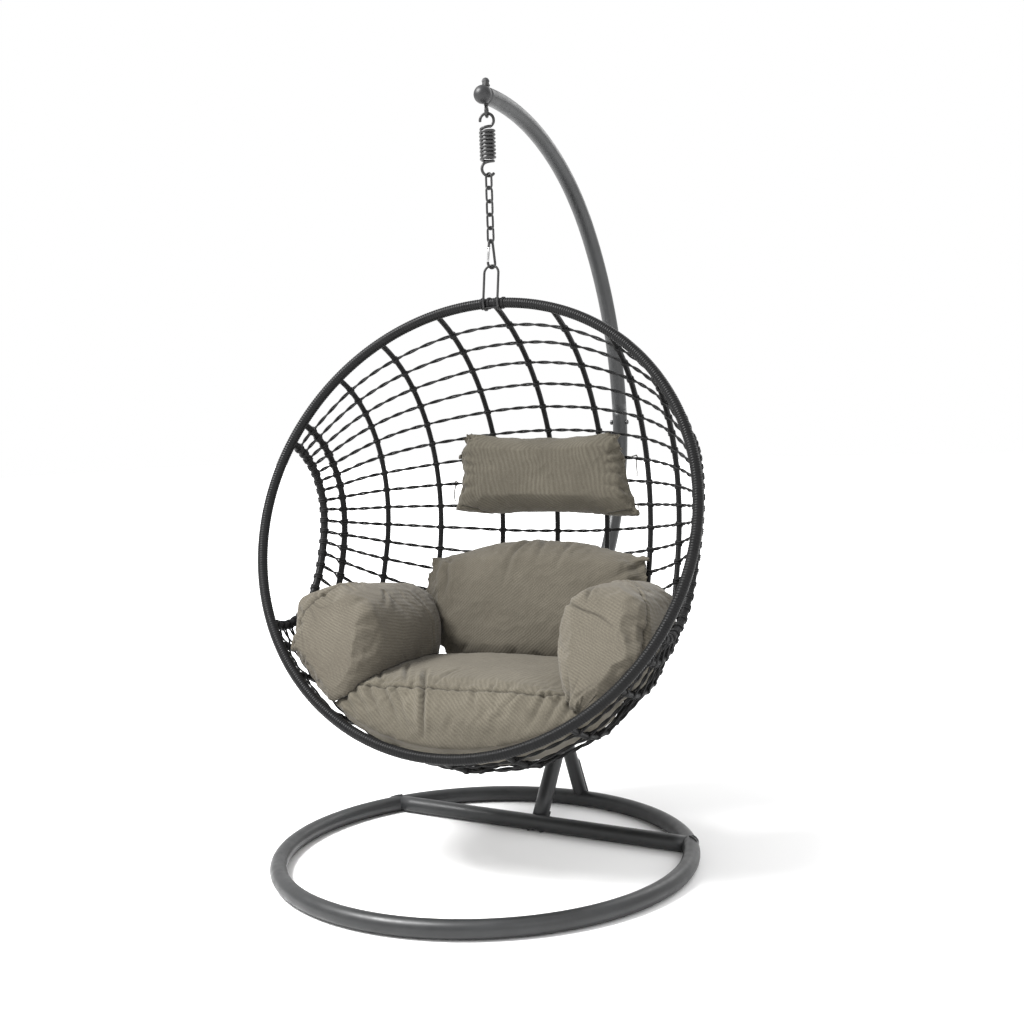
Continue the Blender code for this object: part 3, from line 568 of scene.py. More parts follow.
def build_stand():
    circle = []
    for k in range(192):
        a = 2 * math.pi * k / 192
        circle.append(ORIGIN + Vector((RING_RADIUS * math.sin(a), -RING_RADIUS * math.cos(a), TUBE_RADIUS)))
    steel_tube("ring_tube", circle, TUBE_RADIUS, 32, ["base_ring"], True)
    reach = math.sqrt(RING_RADIUS**2 - CROSS_TUBE_Y**2) - 0.006
    left = ORIGIN + Vector((-reach, CROSS_TUBE_Y, TUBE_RADIUS))
    right = ORIGIN + Vector((reach, CROSS_TUBE_Y, TUBE_RADIUS))
    steel_tube("cross_bar", straight(left, right, 24), TUBE_RADIUS - 0.0004, 32, ["cross_tube"])
    points, split = mast_line()
    steel_tube("mast_lower_tube", points[: split + 1], TUBE_RADIUS, 32, ["mast_lower"])
    seam = points[split]
    ahead = (points[split + 1] - seam).normalized()
    upper = [seam + ahead * SEAM_WIDTH] + points[split + 1:]
    steel_tube("mast_upper_tube", upper, TUBE_RADIUS, 32, ["mast_upper"])
    neck = [seam - ahead * SPIGOT_REACH, seam + ahead * SPIGOT_REACH]
    steel_tube("mast_spigot", neck, TUBE_RADIUS - SPIGOT_STEP, 32, [])
    foot, head = plane(*STRUT_FOOT), plane(*STRUT_HEAD)
    steel_tube("strut_tube", straight(foot, head, 12), STRUT_RADIUS, 28, ["rear_strut"])

    welds = Sheaf()
    leg = points[1] - points[0]
    cross_tube = (left, right - left, TUBE_RADIUS)
    ring_back = (ORIGIN + Vector((0, RING_RADIUS, TUBE_RADIUS)), (1, 0, 0), TUBE_RADIUS)
    middle = (foot + head) / 2
    weld_bead(welds, points[0] + leg.normalized() * 0.03, -leg, TUBE_RADIUS, cross_tube, 0.06)
    weld_bead(welds, middle, head - foot, STRUT_RADIUS, (points[0], leg, TUBE_RADIUS), 0.16)
    weld_bead(welds, middle, foot - head, STRUT_RADIUS, ring_back, 0.16)
    for end, sign in ((left, -1), (right, 1)):
        centre = end - Vector((sign * 0.05, 0, 0))
        tangent = Vector((-(end.y - RING_Y), (end.x - RING_X), 0))
        outward = Vector((end.x - RING_X, end.y - RING_Y, 0)).normalized()
        on_ring = ORIGIN + outward * RING_RADIUS + Vector((0, 0, TUBE_RADIUS))
        weld_bead(welds, centre, (sign, 0, 0), TUBE_RADIUS, (on_ring, tangent, TUBE_RADIUS), 0.08)
    welds.piece("stand_welds", COAT, "stand", "stand_steel", floor=0.0004)

    tip = points[-1]
    ball = Sheaf().ball(tip + Vector((0, -0.007, 0)), BALL_RADIUS, 20, 32)
    ball.rod([tip + Vector((0, -0.0020, 0)), tip], TUBE_RADIUS + 0.0009, 32)
    ball.piece("mast_stopper", STOPPER, "stand", "stopper", ["mast_end_ball"])
    return tip


# ------------------------------------------------------------------ hanging hardware
def in_plane(turn, across, z):
    """A point at height z, across from the line of the hang in the upright plane at that turn."""
    return HANG + Vector((across * math.cos(turn), across * math.sin(turn), z))


def arc_points(turn, middle_z, radius, start, end, steps):
    points = []
    for k in range(steps + 1):
        a = math.radians(start + (end - start) * k / steps)
        points.append(in_plane(turn, radius * math.cos(a), middle_z + radius * math.sin(a)))
    return points


def spiral(start, end, steps):
    """Points strictly between two ends, each (radius, turn, z). Radius and height ease in and out."""
    points = []
    for k in range(1, steps):
        share = k / steps
        ease = share * share * (3 - 2 * share)
        radius = start[0] + (end[0] - start[0]) * ease
        a = start[1] + (end[1] - start[1]) * share
        z = start[2] + (end[2] - start[2]) * ease
        points.append(HANG + Vector((radius * math.cos(a), radius * math.sin(a), z)))
    return points


def spring_line():
    """The spring's wire from its upper hook to its lower one, and the inside of the lower hook."""
    hook_top = EYE_Z - EYE_RADIUS + EYE_WIRE + SPRING_WIRE + GAP
    upper_middle = hook_top - HOOK_RADIUS
    coil_top = upper_middle - HOOK_RADIUS - HOOK_NECK
    coil_bottom = coil_top - COIL_TURNS * COIL_PITCH
    lower_middle = coil_bottom - HOOK_NECK - HOOK_RADIUS
    line = arc_points(UPPER_HOOK_TURN, upper_middle, HOOK_RADIUS, 185, -62, 36)
    end = line[-1] - HANG
    start_turn = math.atan2(end.y, end.x)
    first_turn = start_turn - math.radians(230)
    line += spiral((end.xy.length, start_turn, end.z), (COIL_RADIUS, first_turn, coil_top), 24)
    steps = COIL_TURNS * 36
    for k in range(steps + 1):
        a = first_turn - 2 * math.pi * k / 36
        z = coil_top - COIL_PITCH * k / 36
        line.append(HANG + Vector((COIL_RADIUS * math.cos(a), COIL_RADIUS * math.sin(a), z)))
    lower = arc_points(LOWER_HOOK_TURN, lower_middle, HOOK_RADIUS, 118, 325, 30)
    start = lower[0] - HANG
    last_turn = first_turn - 2 * math.pi * COIL_TURNS
    home = math.atan2(start.y, start.x)
    while home > last_turn - math.radians(150):
        home -= 2 * math.pi
    line += spiral((COIL_RADIUS, last_turn, coil_bottom), (start.xy.length, home, start.z), 26)
    return line + lower, lower_middle - HOOK_RADIUS


def carabiner_side(top, share):
    """A point of the carabiner's straight side: how far across, and its z."""
    top_radius, foot_radius = CARABINER_TOP_RADIUS, CARABINER_FOOT_RADIUS
    cos, sin = math.cos(CARABINER_SLOPE), math.sin(CARABINER_SLOPE)
    foot_z = top - CARABINER_LENGTH + foot_radius
    upper = (-top_radius * cos, top - top_radius + top_radius * sin)
    lower = (-foot_radius * cos, foot_z + foot_radius * sin)
    return [a + (b - a) * share for a, b in zip(upper, lower)]


def build_eye(tip):
    eye = Sheaf().rod(arc_points(EYE_TURN, EYE_Z, EYE_RADIUS, 0, 354, 59), EYE_WIRE - 0.0004, 16, True)
    low = EYE_Z + EYE_RADIUS
    top = tip.z + TUBE_RADIUS + 0.0155

    def thread(s, turn):
        return 0.00022 * np.sin(2 * np.pi * (s / 0.0012 - turn / (2 * np.pi)))

    eye.rod(straight(in_plane(0, 0, low), in_plane(0, 0, top), 200), BOLT_RADIUS - 0.0002, 14, shape=thread)
    collar = in_plane(0, 0, low + EYE_WIRE - 0.0008)
    eye.rod([collar, collar + Vector((0, 0, 0.0016))], 0.0062, 20)
    eye.piece("eye_bolt_forging", HARDWARE, "hook", "hardware", ["eye_bolt"])


def build_spring():
    """The coil spring, which hangs between the eye bolt and the first link."""
    wire, bottom = spring_line()
    coil = Sheaf().rod(wire, SPRING_WIRE - 0.0001, 14)
    coil = coil.piece("coil_spring", HARDWARE, None, "hardware", ["spring"])
    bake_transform(coil)
    return bottom


def build_chain(link_top):
    for n, turn in enumerate(LINK_TURNS, 1):
        oval = arc_points(turn, link_top - LINK_HALF_WIDTH, LINK_HALF_WIDTH, 0, 180, 18)
        oval += arc_points(turn, link_top - LINK_LENGTH + LINK_HALF_WIDTH, LINK_HALF_WIDTH, 180, 360, 18)
        link = Sheaf().rod(spline(oval, 0.0016, True), LINK_WIRE, 14, True)
        side = in_plane(turn, LINK_HALF_WIDTH, link_top - LINK_LENGTH / 2)
        weld = [LINK_WIRE + 0.0001, LINK_WIRE + 0.0005, LINK_WIRE + 0.0001]
        link.rod([side + Vector((0, 0, z)) for z in (-0.0012, 0.0, 0.0012)], weld, 12)
        link.piece(f"link_{n}_forging", HARDWARE, f"link_{n}", "hardware", [f"chain_link_{n}"])
        link_top = link_top - LINK_LENGTH + 2 * LINK_WIRE + GAP
    return link_top


def build_carabiner(hook_top):
    turn = CARABINER_TURN
    foot_z = hook_top - CARABINER_LENGTH + CARABINER_FOOT_RADIUS
    above, hinge, nose = (in_plane(turn, *carabiner_side(hook_top, share)) for share in (0.22, 0.30, 0.96))
    lean = math.degrees(CARABINER_SLOPE)
    path = [above]
    path += arc_points(turn, hook_top - CARABINER_TOP_RADIUS, CARABINER_TOP_RADIUS, 180 - lean, lean, 20)
    path += arc_points(turn, foot_z, CARABINER_FOOT_RADIUS, lean, lean - 190, 30)
    body = Sheaf().rod(spline(path, 0.002), CARABINER_WIRE, 18)
    normal = Vector((-math.sin(turn), math.cos(turn), 0))
    along = (above - hinge).normalized()
    for side in (-1, 1):
        cheek = side * 0.0029 * normal
        body.rod([hinge - along * 0.0022 + cheek, hinge + cheek, above + along * 0.003 + cheek], 0.0013, 10)
    body.piece("snap_hook_forging", HARDWARE, "snap_hook", "hardware", ["snap_hook_body"])
    pin = Sheaf().rod([hinge - normal * 0.0050, hinge + normal * 0.0050], 0.0008, 12)
    for side in (-1, 1):
        pin.ball(hinge + normal * 0.0046 * side, 0.0014, 8, 12)
    pin.piece("gate_rivet", STEEL, "snap_hook", "hardware", ["gate_pin"])
    gate = Sheaf().rod([hinge + along * 0.0012, hinge - along * 0.004], 0.0013, 12)
    gate.rod(straight(hinge - along * 0.0036, nose + along * 0.0006, 6), 0.0028, 16)
    gate.piece("gate_rod", STEEL, "snap_gate", "hardware", ["snap_hook_gate"])
    return foot_z - CARABINER_FOOT_RADIUS


def build_hardware(tip):
    """Everything that hangs between the mast and the basket. Returns the top of the basket's own loop."""
    build_eye(tip)
    spring_foot = build_spring()
    link_top = build_chain(spring_foot + SPRING_WIRE + LINK_WIRE + GAP)
    carabiner_foot = build_carabiner(link_top - LINK_WIRE + CARABINER_WIRE)
    return carabiner_foot + CARABINER_WIRE + LOOP_WIRE + GAP


# ------------------------------------------------------------------ basket
Rib = namedtuple("Rib", "name top foot depth skin")


class Bowl:
    """The basket's inner shape, in a frame whose origin is under the hang and whose +x is to the right."""

    def __init__(self, top_z):
        self.up = Vector((0, math.sin(RIM_LEAN), math.cos(RIM_LEAN)))
        self.back = Vector((0, math.cos(RIM_LEAN), -math.sin(RIM_LEAN)))
        self.centre = Vector((0, 0, top_z)) - RIM_RADIUS * self.up

    def section(self, x, t, depth):
        half = math.sqrt(RIM_RADIUS**2 - x * x)
        sag = 0.0
        if math.pi / 2 < t < math.pi:
            sag = SEAT_SAG * (half / RIM_RADIUS) ** 2 * math.sin(2 * t - math.pi) ** 1.4
        return (half + sag) * math.cos(t), (depth + sag) * math.sin(t)

    def place(self, x, height, depth):
        return self.centre + Vector((x, 0, 0)) + height * self.up + depth * self.back

    def point(self, rib, t):
        """The rib's middle line, from t = 0 at the rim's top to pi at its foot."""
        x = rib.top + (rib.foot - rib.top) * (1 - math.cos(t)) / 2
        height, back = self.section(x, t, rib.depth)
        return self.place(x, height, back)


def rib_stations():
    top, foot, depth = ARM_FRAME
    right = [Rib(f"rib_right_{n}", *sizes, FAR_SKIN if n == "far" else RIB_SKIN) for n, *sizes in RIBS]
    right.append(Rib("arm_frame_right", top, foot, depth, ARM_SKIN))
    left = [Rib(r.name.replace("right", "left"), -r.top, -r.foot, r.depth, r.skin) for r in right]
    return left[::-1] + [Rib("rib_centre", 0.0, 0.0, CENTRE_DEPTH, RIB_SKIN)] + right


def world(points):
    """Points of the bowl's frame as world positions."""
    return [SWING @ Vector(tuple(p)) for p in points]


def row_angle(row):
    """Where on the ribs a row of strand lies. The upper rows are drawn a little closer to the rim."""
    lowered = row + TOP_ROW_DROP * max(0.0, 1 - 2 * row / (STRAND_ROWS + 1))
    return math.pi * lowered / (STRAND_ROWS + 1)


def bowl_normal(bowl, stations, i, t):
    """The direction out of the bowl at rib i, and the direction along the rib."""
    here = bowl.point(stations[i], t)
    left = bowl.point(stations[max(i - 1, 0)], t)
    right = bowl.point(stations[min(i + 1, len(stations) - 1)], t)
    along = bowl.point(stations[i], t + 0.01) - bowl.point(stations[i], t - 0.01)
    normal = (right - left).cross(along).normalized()
    if normal.dot(here - bowl.centre) < 0:
        normal = -normal
    return normal, along.normalized()


def strand_row(sheaf, bowl, stations, row):
    """Two strands that twist round each other between the ribs, and pass either side of each rib."""
    t = row_angle(row)
    crossings = [np.array(bowl.point(s, t)) for s in stations]
    frames = [bowl_normal(bowl, stations, i, t) for i in range(len(stations))]
    angle = 0.0
    dense = []
    for i in range(len(stations) - 1):
        b, c = crossings[i], crossings[i + 1]
        a = crossings[i - 1] if i else b - (c - b)
        d = crossings[i + 2] if i + 2 < len(stations) else c + (c - b)
        span = np.linalg.norm(c - b)
        count = max(8, round(span / 0.0036))
        halves = max(1, round((span - 0.02) / STRAND_TWIST))
        dip = NOISE.normal(0.0, 0.0009)
        for k in range(count + (i == len(stations) - 2)):
            u = k / count
            p = between(a, b, c, d, u)
            n = np.array(frames[i][0]) * (1 - u) + np.array(frames[i + 1][0]) * u
            r = np.array(frames[i][1]) * (1 - u) + np.array(frames[i + 1][1]) * u
            n /= np.linalg.norm(n)
            p = p + r * dip * math.sin(math.pi * u)
            near = min(u, 1 - u) * span
            skin = stations[i].skin if u < 0.5 else stations[i + 1].skin
            w = math.exp(-((near / KNOT_REACH) ** 2))
            share = min(1.0, max(0.0, (u * span - 0.012) / max(span - 0.024, 0.004)))
            dense.append((p, n, r, angle + math.pi * halves * share, w, skin))
        angle += math.pi * halves
    for strand in (0, 1):
        points = []
        for p, n, r, a, w, skin in dense:
            a = a + math.pi * strand
            across = math.cos(a) * n + math.sin(a) * r
            tilt = math.cos(KNOT_LEAN) * n + math.sin(KNOT_LEAN) * r
            reach = (skin + STRAND) * 1.02
            side = tilt * (1.0 if math.cos(a) >= 0 else -1.0)
            points.append(p + across * STRAND * (1 - w) + side * reach * w)
        sheaf.rod(world(points), STRAND, 7)
    for i, station in enumerate(stations):
        knot(sheaf, bowl, station, t, 2.6 if station.skin > RIB_SKIN else 1.8)


def knot(sheaf, bowl, station, t, turns):
    """A few turns of strand round a rib."""
    middle = np.array(bowl.point(station, t))
    along = np.array(bowl.point(station, t + 0.004)) - np.array(bowl.point(station, t - 0.004))
    along /= np.linalg.norm(along)
    side = np.cross(along, (1.0, 0.2, 0.1))
    side /= np.linalg.norm(side)
    up = np.cross(along, side)
    points = []
    radius = station.skin + STRAND * 0.55
    start = NOISE.uniform(0, 2 * math.pi)
    count = round(turns * 13)
    for k in range(count + 1):
        a = start + 2 * math.pi * turns * k / count
        lift = (k / count - 0.5) * turns * STRAND * 2.05
        points.append(middle + along * lift + radius * (math.cos(a) * side + math.sin(a) * up))
    sheaf.rod(world(points), STRAND * 0.95, 6)


def build_basket(loop_top):
    rim_top = loop_top - RIM_TOP_DROP
    bowl = Bowl(rim_top)
    stations = rib_stations()
    steps = round(2 * math.pi * RIM_RADIUS / RIM_BAND * 5)
    circle = []
    for k in range(steps):
        a = 2 * math.pi * k / steps
        circle.append(bowl.place(RIM_RADIUS * math.sin(a), RIM_RADIUS * math.cos(a), 0.0))
    exact = 2 * math.pi * RIM_RADIUS / round(2 * math.pi * RIM_RADIUS / RIM_BAND)
    Sheaf().rod(world(circle), RIM_TUBE, 20, True, winding(exact, 0.0016, 4)).piece(
        "rim_winding", WICKER, "basket", "wicker", ["rim"])
    for station in stations:
        start = math.asin((RIM_TUBE - 0.002) / station.depth)
        rough = [bowl.point(station, start + (math.pi - 2 * start) * k / 90) for k in range(91)]
        line = spline(rough, 0.0012)
        Sheaf().rod(world(line), station.skin, 12, False, winding(RIB_BAND, 0.0008, 4)).piece(
            station.name + "_winding", WICKER, "basket", "wicker", [station.name])
    for name, first, last in STRAND_GROUPS:
        sheaf = Sheaf()
        for row in range(first, last + 1):
            strand_row(sheaf, bowl, stations, row)
        sheaf.piece(name + "_strands", STRING, "basket", "wicker", [name])
    build_loop(bowl, loop_top, rim_top)
    return bowl, stations


def band(sheaf, bowl, angle, turns):
    """Turns of strand round the rim, at an angle from its top."""
    points = []
    count = turns * 16
    for k in range(count + 1):
        a = 2 * math.pi * turns * k / count
        here = angle + (k / count - 0.5) * turns * 0.0034 / RIM_RADIUS
        radius = RIM_TUBE + 0.0014
        out = RIM_RADIUS + radius * math.cos(a)
        points.append(bowl.place(out * math.sin(here), out * math.cos(here), radius * math.sin(a)))
    sheaf.rod(world(points), 0.0017, 7)


def build_loop(bowl, loop_top, rim_top):
    """The bent rod that the basket hangs by, and the strand that lashes its feet to the rim."""
    clear = RIM_TUBE + LOOP_WIRE + 0.0010
    leg = []
    for k in range(17):
        a = math.radians(125 - 125 * k / 16)
        leg.append((-clear * math.cos(a), rim_top - clear * math.sin(a)))
    path = [Vector((-LOOP_HALF_WIDTH, y, z)) for y, z in leg]
    shoulder = loop_top - LOOP_HALF_WIDTH
    for k in range(25):
        a = math.pi - math.pi * k / 24
        across, high = LOOP_HALF_WIDTH * math.cos(a), LOOP_HALF_WIDTH * math.sin(a)
        lean = -clear * (loop_top - shoulder - high) / (loop_top - rim_top)
        path.append(Vector((across, lean, shoulder + high)))
    path += [Vector((LOOP_HALF_WIDTH, y, z)) for y, z in reversed(leg)]
    loop = Sheaf().rod(world(spline(path, 0.0022)), LOOP_WIRE, 16)
    loop.piece("hanger_loop_rod", HARDWARE, "basket", "hardware", ["hanger_loop"])
    tie = Sheaf()
    low = [Vector((x, -clear * 0.75, rim_top - clear * 0.75)) for x in (-0.022, -0.007, 0.007, 0.022)]
    tie.rod(world(spline(low, 0.003)), 0.0022, 10)
    for x in (-LOOP_HALF_WIDTH, LOOP_HALF_WIDTH):
        for shift in (-0.0085, 0.0085):
            band(tie, bowl, math.asin(x / RIM_RADIUS) + shift / RIM_RADIUS, 2)
    tie.piece("loop_lashing", STRING, "basket", "wicker")


# ------------------------------------------------------------------ soft goods
def welded_copy(node):
    """A copy of a CAD node's mesh, its faces joined and divided once."""
    work = bmesh.new()
    work.from_mesh(frame["nodes"][node].data)
    bmesh.ops.remove_doubles(work, verts=work.verts, dist=0.00002)
    bmesh.ops.triangulate(work, faces=work.faces)
    bmesh.ops.subdivide_edges(work, edges=work.edges, cuts=2, use_grid_fill=True)
    bmesh.ops.recalc_face_normals(work, faces=work.faces)
    mesh = bpy.data.meshes.new("tmp_" + node)
    work.to_mesh(mesh)
    work.free()
    piece = bpy.data.objects.new("tmp_" + node, mesh)
    bpy.context.scene.collection.objects.link(piece)
    return piece


def apply_modifiers(piece):
    graph = bpy.context.evaluated_depsgraph_get()
    mesh = bpy.data.meshes.new_from_object(piece.evaluated_get(graph))
    piece.modifiers.clear()
    piece.data = mesh


def per_vertex(mesh, name):
    """Each vertex's co or normal."""
    flat = np.empty(len(mesh.vertices) * 3, np.float32)
    mesh.vertices.foreach_get(name, flat)
    return flat.reshape(-1, 3).astype(float)


def set_points(mesh, points):
    mesh.vertices.foreach_set("co", points.astype(np.float32).ravel())
    mesh.update()


def warped(points, form):
    """A pillow's shape from a rounded block: squarer in its plane, with its sides drawn in, thin corners,
    and each corner moved by its own offset."""
    turn = np.array(Matrix.Rotation(form.tilt, 3, "X"))
    local = (points - np.array(form.centre)) @ turn / np.array(form.half)
    a, b = [k for k in range(3) if k != form.flat]
    u, v, w = local[:, a].copy(), local[:, b].copy(), local[:, form.flat].copy()
    most = np.maximum(np.maximum(np.abs(u), np.abs(v)), 1e-6)
    reach = (np.abs(u) ** 3.2 + np.abs(v) ** 3.2) ** (1 / 3.2)
    grow = 1 + form.square * (reach / most - 1) * np.clip(reach, 0, 1) ** 2
    u, v = u * grow, v * grow
    u1, v1 = np.clip(u, -1, 1), np.clip(v, -1, 1)
    u = u * (1 - form.pinch[0] * (1 - v1**2) * u1**2)
    v = v * (1 - form.pinch[1] * (1 - u1**2) * v1**2)
    w = w * (1 - form.thin * (u1 * v1) ** 2)
    local[:, a], local[:, b], local[:, form.flat] = u, v, w
    out = (local * np.array(form.full_half)) @ turn.T + np.array(form.full_centre)
    for (su, sv), shift in form.corners.items():
        share = np.clip(su * u1, 0, 1) ** 2 * np.clip(sv * v1, 0, 1) ** 2
        out += share[:, None] * np.array(shift)
    return out


def within_bowl(bowl, points, clearance, forward=False):
    """The points, with those too near the ribs or the rim's plane brought back: towards the bowl's centre,
    or straight forward."""
    centre, up, back_axis = np.array(bowl.centre), np.array(bowl.up), np.array(bowl.back)
    offset = points - centre
    front = FRONT_PLANE + clearance
    widest = CUSHION_SPAN - clearance
    height, back = offset @ up, np.maximum(offset @ back_axis, front)
    x = np.clip(points[:, 0], -widest, widest)
    half = np.sqrt(RIM_RADIUS**2 - x * x)
    xs = [0.0] + [(top + foot) / 2 for _, top, foot, _ in RIBS]
    depth = np.interp(np.abs(x), xs, [CENTRE_DEPTH] + [deep for *_, deep in RIBS])
    if forward:
        keep = np.clip(height, -0.9 * half, 0.9 * half)
        deepest = depth * np.sqrt(1 - (keep / half) ** 2) - clearance * 1.15
        back = np.clip(offset @ back_axis, front, np.maximum(deepest, front))
    else:
        t = np.arctan2(back / depth, height / half)
        low = np.clip(np.sin(2 * t - np.pi), 0, 1) ** 1.4 * (t > np.pi / 2)
        sag = SEAT_SAG * (half / RIM_RADIUS) ** 2 * low
        limit = np.hypot((half + sag) * np.cos(t), (depth + sag) * np.sin(t)) - clearance
        scale = np.minimum(1.0, limit / np.maximum(np.hypot(height, back), 1e-6))
        height, back = height * scale, np.maximum(back * scale, front)
    return centre + np.outer(x, (1, 0, 0)) + height[:, None] * up + back[:, None] * back_axis


def keep_largest(piece):
    """Drops the crumbs that a remesh can leave round thin corners."""
    work = bmesh.new()
    work.from_mesh(piece.data)
    left = set(work.verts)
    groups = []
    while left:
        group, edge = set(), [left.pop()]
        while edge:
            vertex = edge.pop()
            group.add(vertex)
            for link in vertex.link_edges:
                other = link.other_vert(vertex)
                if other in left:
                    left.discard(other)
                    edge.append(other)
        groups.append(group)
    largest = max(groups, key=len)
    bmesh.ops.delete(work, geom=[v for v in work.verts if v not in largest], context="VERTS")
    work.to_mesh(piece.data)
    work.free()


def smooth_remesh(piece, voxel, rounds):
    remesh = piece.modifiers.new("voxels", "REMESH")
    remesh.mode = "VOXEL"
    remesh.voxel_size = voxel
    apply_modifiers(piece)
    keep_largest(piece)
    soften = piece.modifiers.new("soften", "SMOOTH")
    soften.factor = 0.5
    soften.iterations = rounds
    apply_modifiers(piece)


def fill_by_cloth(piece, shrink, cap, pressure):
    """Swells the cover under pressure, no point moving further than cap."""
    start = per_vertex(piece.data, "co") - per_vertex(piece.data, "normal") * shrink
    set_points(piece.data, start)
    cloth = piece.modifiers.new("fill", "CLOTH")
    settings = cloth.settings
    settings.use_pressure = True
    settings.uniform_pressure_force = pressure
    settings.quality = 4
    settings.tension_stiffness = settings.compression_stiffness = 12
    settings.bending_stiffness = 0.3
    settings.effector_weights.gravity = 0.0
    cloth.point_cache.frame_start = 1
    cloth.point_cache.frame_end = 20
    for step in range(1, 19):
        bpy.context.scene.frame_set(step)
    apply_modifiers(piece)
    bpy.context.scene.frame_set(1)
    moved = per_vertex(piece.data, "co") - start
    length = np.linalg.norm(moved, axis=1)[:, None]
    moved *= np.minimum(1.0, cap / np.maximum(length, 1e-9))
    set_points(piece.data, start + moved)


def subdivided(piece):
    finer = piece.modifiers.new("finer", "SUBSURF")
    finer.levels = finer.render_levels = 1
    apply_modifiers(piece)


def tree_of(points, mesh):
    return BVHTree.FromPolygons([tuple(p) for p in points], [tuple(f.vertices) for f in mesh.polygons])


def along_line(points, line):
    """Each point's distance to a line, and the share of the line's length at its nearest place."""
    line = np.asarray(line, float)
    steps = np.linalg.norm(np.diff(line, axis=0), axis=1)
    lengths = np.concatenate([[0], np.cumsum(steps)])
    best = np.full(len(points), 1e9)
    share = np.zeros(len(points))
    for i in range(len(line) - 1):
        a, ab = line[i], line[i + 1] - line[i]
        s = np.clip((points - a) @ ab / max(ab @ ab, 1e-12), 0, 1)
        away = np.linalg.norm(points - a - s[:, None] * ab, axis=1)
        nearer = away < best
        best[nearer] = away[nearer]
        share[nearer] = (lengths[i] + s[nearer] * steps[i]) / lengths[-1]
    return best, share


class Cover:
    """A cushion's cover while its seams, creases and pleats are pressed into it."""

    def __init__(self, piece):
        self.piece = piece
        self.points = per_vertex(piece.data, "co")
        self.normals = per_vertex(piece.data, "normal")
        self.tree = tree_of(self.points, piece.data)
        self.move = np.zeros(len(self.points))
        self.crease = np.zeros(len(self.points))

    def on_surface(self, line, step=0.012):
        return np.array([tuple(self.tree.find_nearest(tuple(p))[0]) for p in spline(line, step)])

    def press(self, line, depth, width, taper, ridge, ink):
        """Presses a groove along the line, with a ridge beside it. It fades at its end, at both ends or at
        none, and ink is how far its bottom is painted in shade."""
        low, high = line.min(0) - 5 * width, line.max(0) + 5 * width
        near = np.nonzero(((self.points > low) & (self.points < high)).all(1))[0]
        if not len(near):
            return
        away, share = along_line(self.points[near], line)
        if taper == "both":
            keep = np.sin(np.pi * np.clip(share, 0.0, 1.0)) ** 0.6
        elif taper == "end":
            keep = (1 - share) ** 0.8
        else:
            keep = 1.0
        groove = np.exp(-((away / width) ** 2))
        bulge = ridge * np.exp(-(((away - 2.1 * width) / (1.1 * width)) ** 2))
        self.move[near] += depth * keep * (bulge - groove)
        # painted shade at the bottom of the groove, kept for the cover's crease attribute
        shaded = ink * keep * np.exp(-((away / (0.42 * width)) ** 2))
        self.crease[near] = np.maximum(self.crease[near], shaded)

    def seam(self, line, pleats, reach, depth, sides, groove):
        """A sewn line, with gathers that run off from it."""
        line = self.on_surface(line, 0.006)
        self.press(line, groove, 0.0040, "none", 0.5, 0.75)
        steps = np.linalg.norm(np.diff(line, axis=0), axis=1)
        lengths = np.concatenate([[0], np.cumsum(steps)])
        for k in range(pleats):
            at = lengths[-1] * (k + NOISE.uniform(0.1, 0.9)) / pleats
            i = min(np.searchsorted(lengths, at, "right") - 1, len(line) - 2)
            start = line[i] + (line[i + 1] - line[i]) * (at - lengths[i]) / max(steps[i], 1e-9)
            tangent = (line[i + 1] - line[i]) / max(steps[i], 1e-9)
            normal = np.array(tuple(self.tree.find_nearest(tuple(start))[1]))
            way = np.cross(tangent, normal) * sides[k % len(sides)] + tangent * NOISE.normal(0.0, 0.45)
            way /= np.linalg.norm(way)
            size = reach * NOISE.uniform(0.35, 1.0)
            bend = tangent * NOISE.normal(0.0, 0.25) * size
            path = [start + way * size * s + bend * s * s for s in (0, 0.35, 0.7, 1.0)]
            path = self.on_surface(path, 0.008)
            share = NOISE.uniform(0.45, 1.0)
            self.press(path, depth * share, NOISE.uniform(0.0038, 0.0065), "end", 0.55, 0.35)

    def crumple(self, size, depth):
        """Soft uneven swells and fine ridges all over the cover."""
        for i, p in enumerate(self.points):
            v = Vector(p)
            wide = noise.noise(v * size)
            fine = noise.noise(v * size * 2.7 + Vector((3, 1, 7)))
            self.move[i] += depth * (wide + 0.45 * (1 - 2 * abs(fine)))

    def finish(self, bowl, others, clearance, leaning, gap):
        """Moves the points, keeps them in the bowl and off the other cushions, and returns their tree."""
        moved = within_bowl(bowl, self.points + self.normals * self.move[:, None], clearance, leaning)
        for tree in others:
            for i, p in enumerate(moved):
                found = tree.find_nearest(tuple(p), 0.09)
                if found[0] is None:
                    continue
                away = Vector(p) - found[0]
                if away.dot(found[1]) < gap:
                    moved[i] = tuple(found[0] + found[1] * gap)
        mesh = self.piece.data
        set_points(mesh, moved)
        # the painted shade of folds and seams is stored on the cover as its crease attribute
        layer = mesh.attributes.new("crease", "FLOAT", "POINT")
        layer.data.foreach_set("value", np.clip(self.crease, 0, 1).astype(np.float32))
        return tree_of(moved, mesh)


# The five covers are one canvas. Each copy's colour is set lighter or darker to paint the light and shade that
# falls on that cushion.
FABRICS = {
    "seat_cushion": fabric("seat_fabric", (0.077, 0.068, 0.052), (0.136, 0.123, 0.096), (0.2, 0.9, 0.3)),
    "back_cushion": fabric("back_fabric", (0.068, 0.060, 0.046), (0.122, 0.110, 0.087), (0.1, -0.75, 0.2)),
    "left_bolster": fabric("left_fabric", (0.074, 0.064, 0.050), (0.131, 0.119, 0.094), (0.3, 1.2, 0.1)),
    "right_bolster": fabric("right_fabric", (0.079, 0.070, 0.055), (0.141, 0.127, 0.100), (0.5, 1.1, 0.2)),
    "head_pillow": fabric("pillow_fabric", (0.070, 0.062, 0.048), (0.125, 0.114, 0.089), (0.0, 0.25, 0.9)),
}


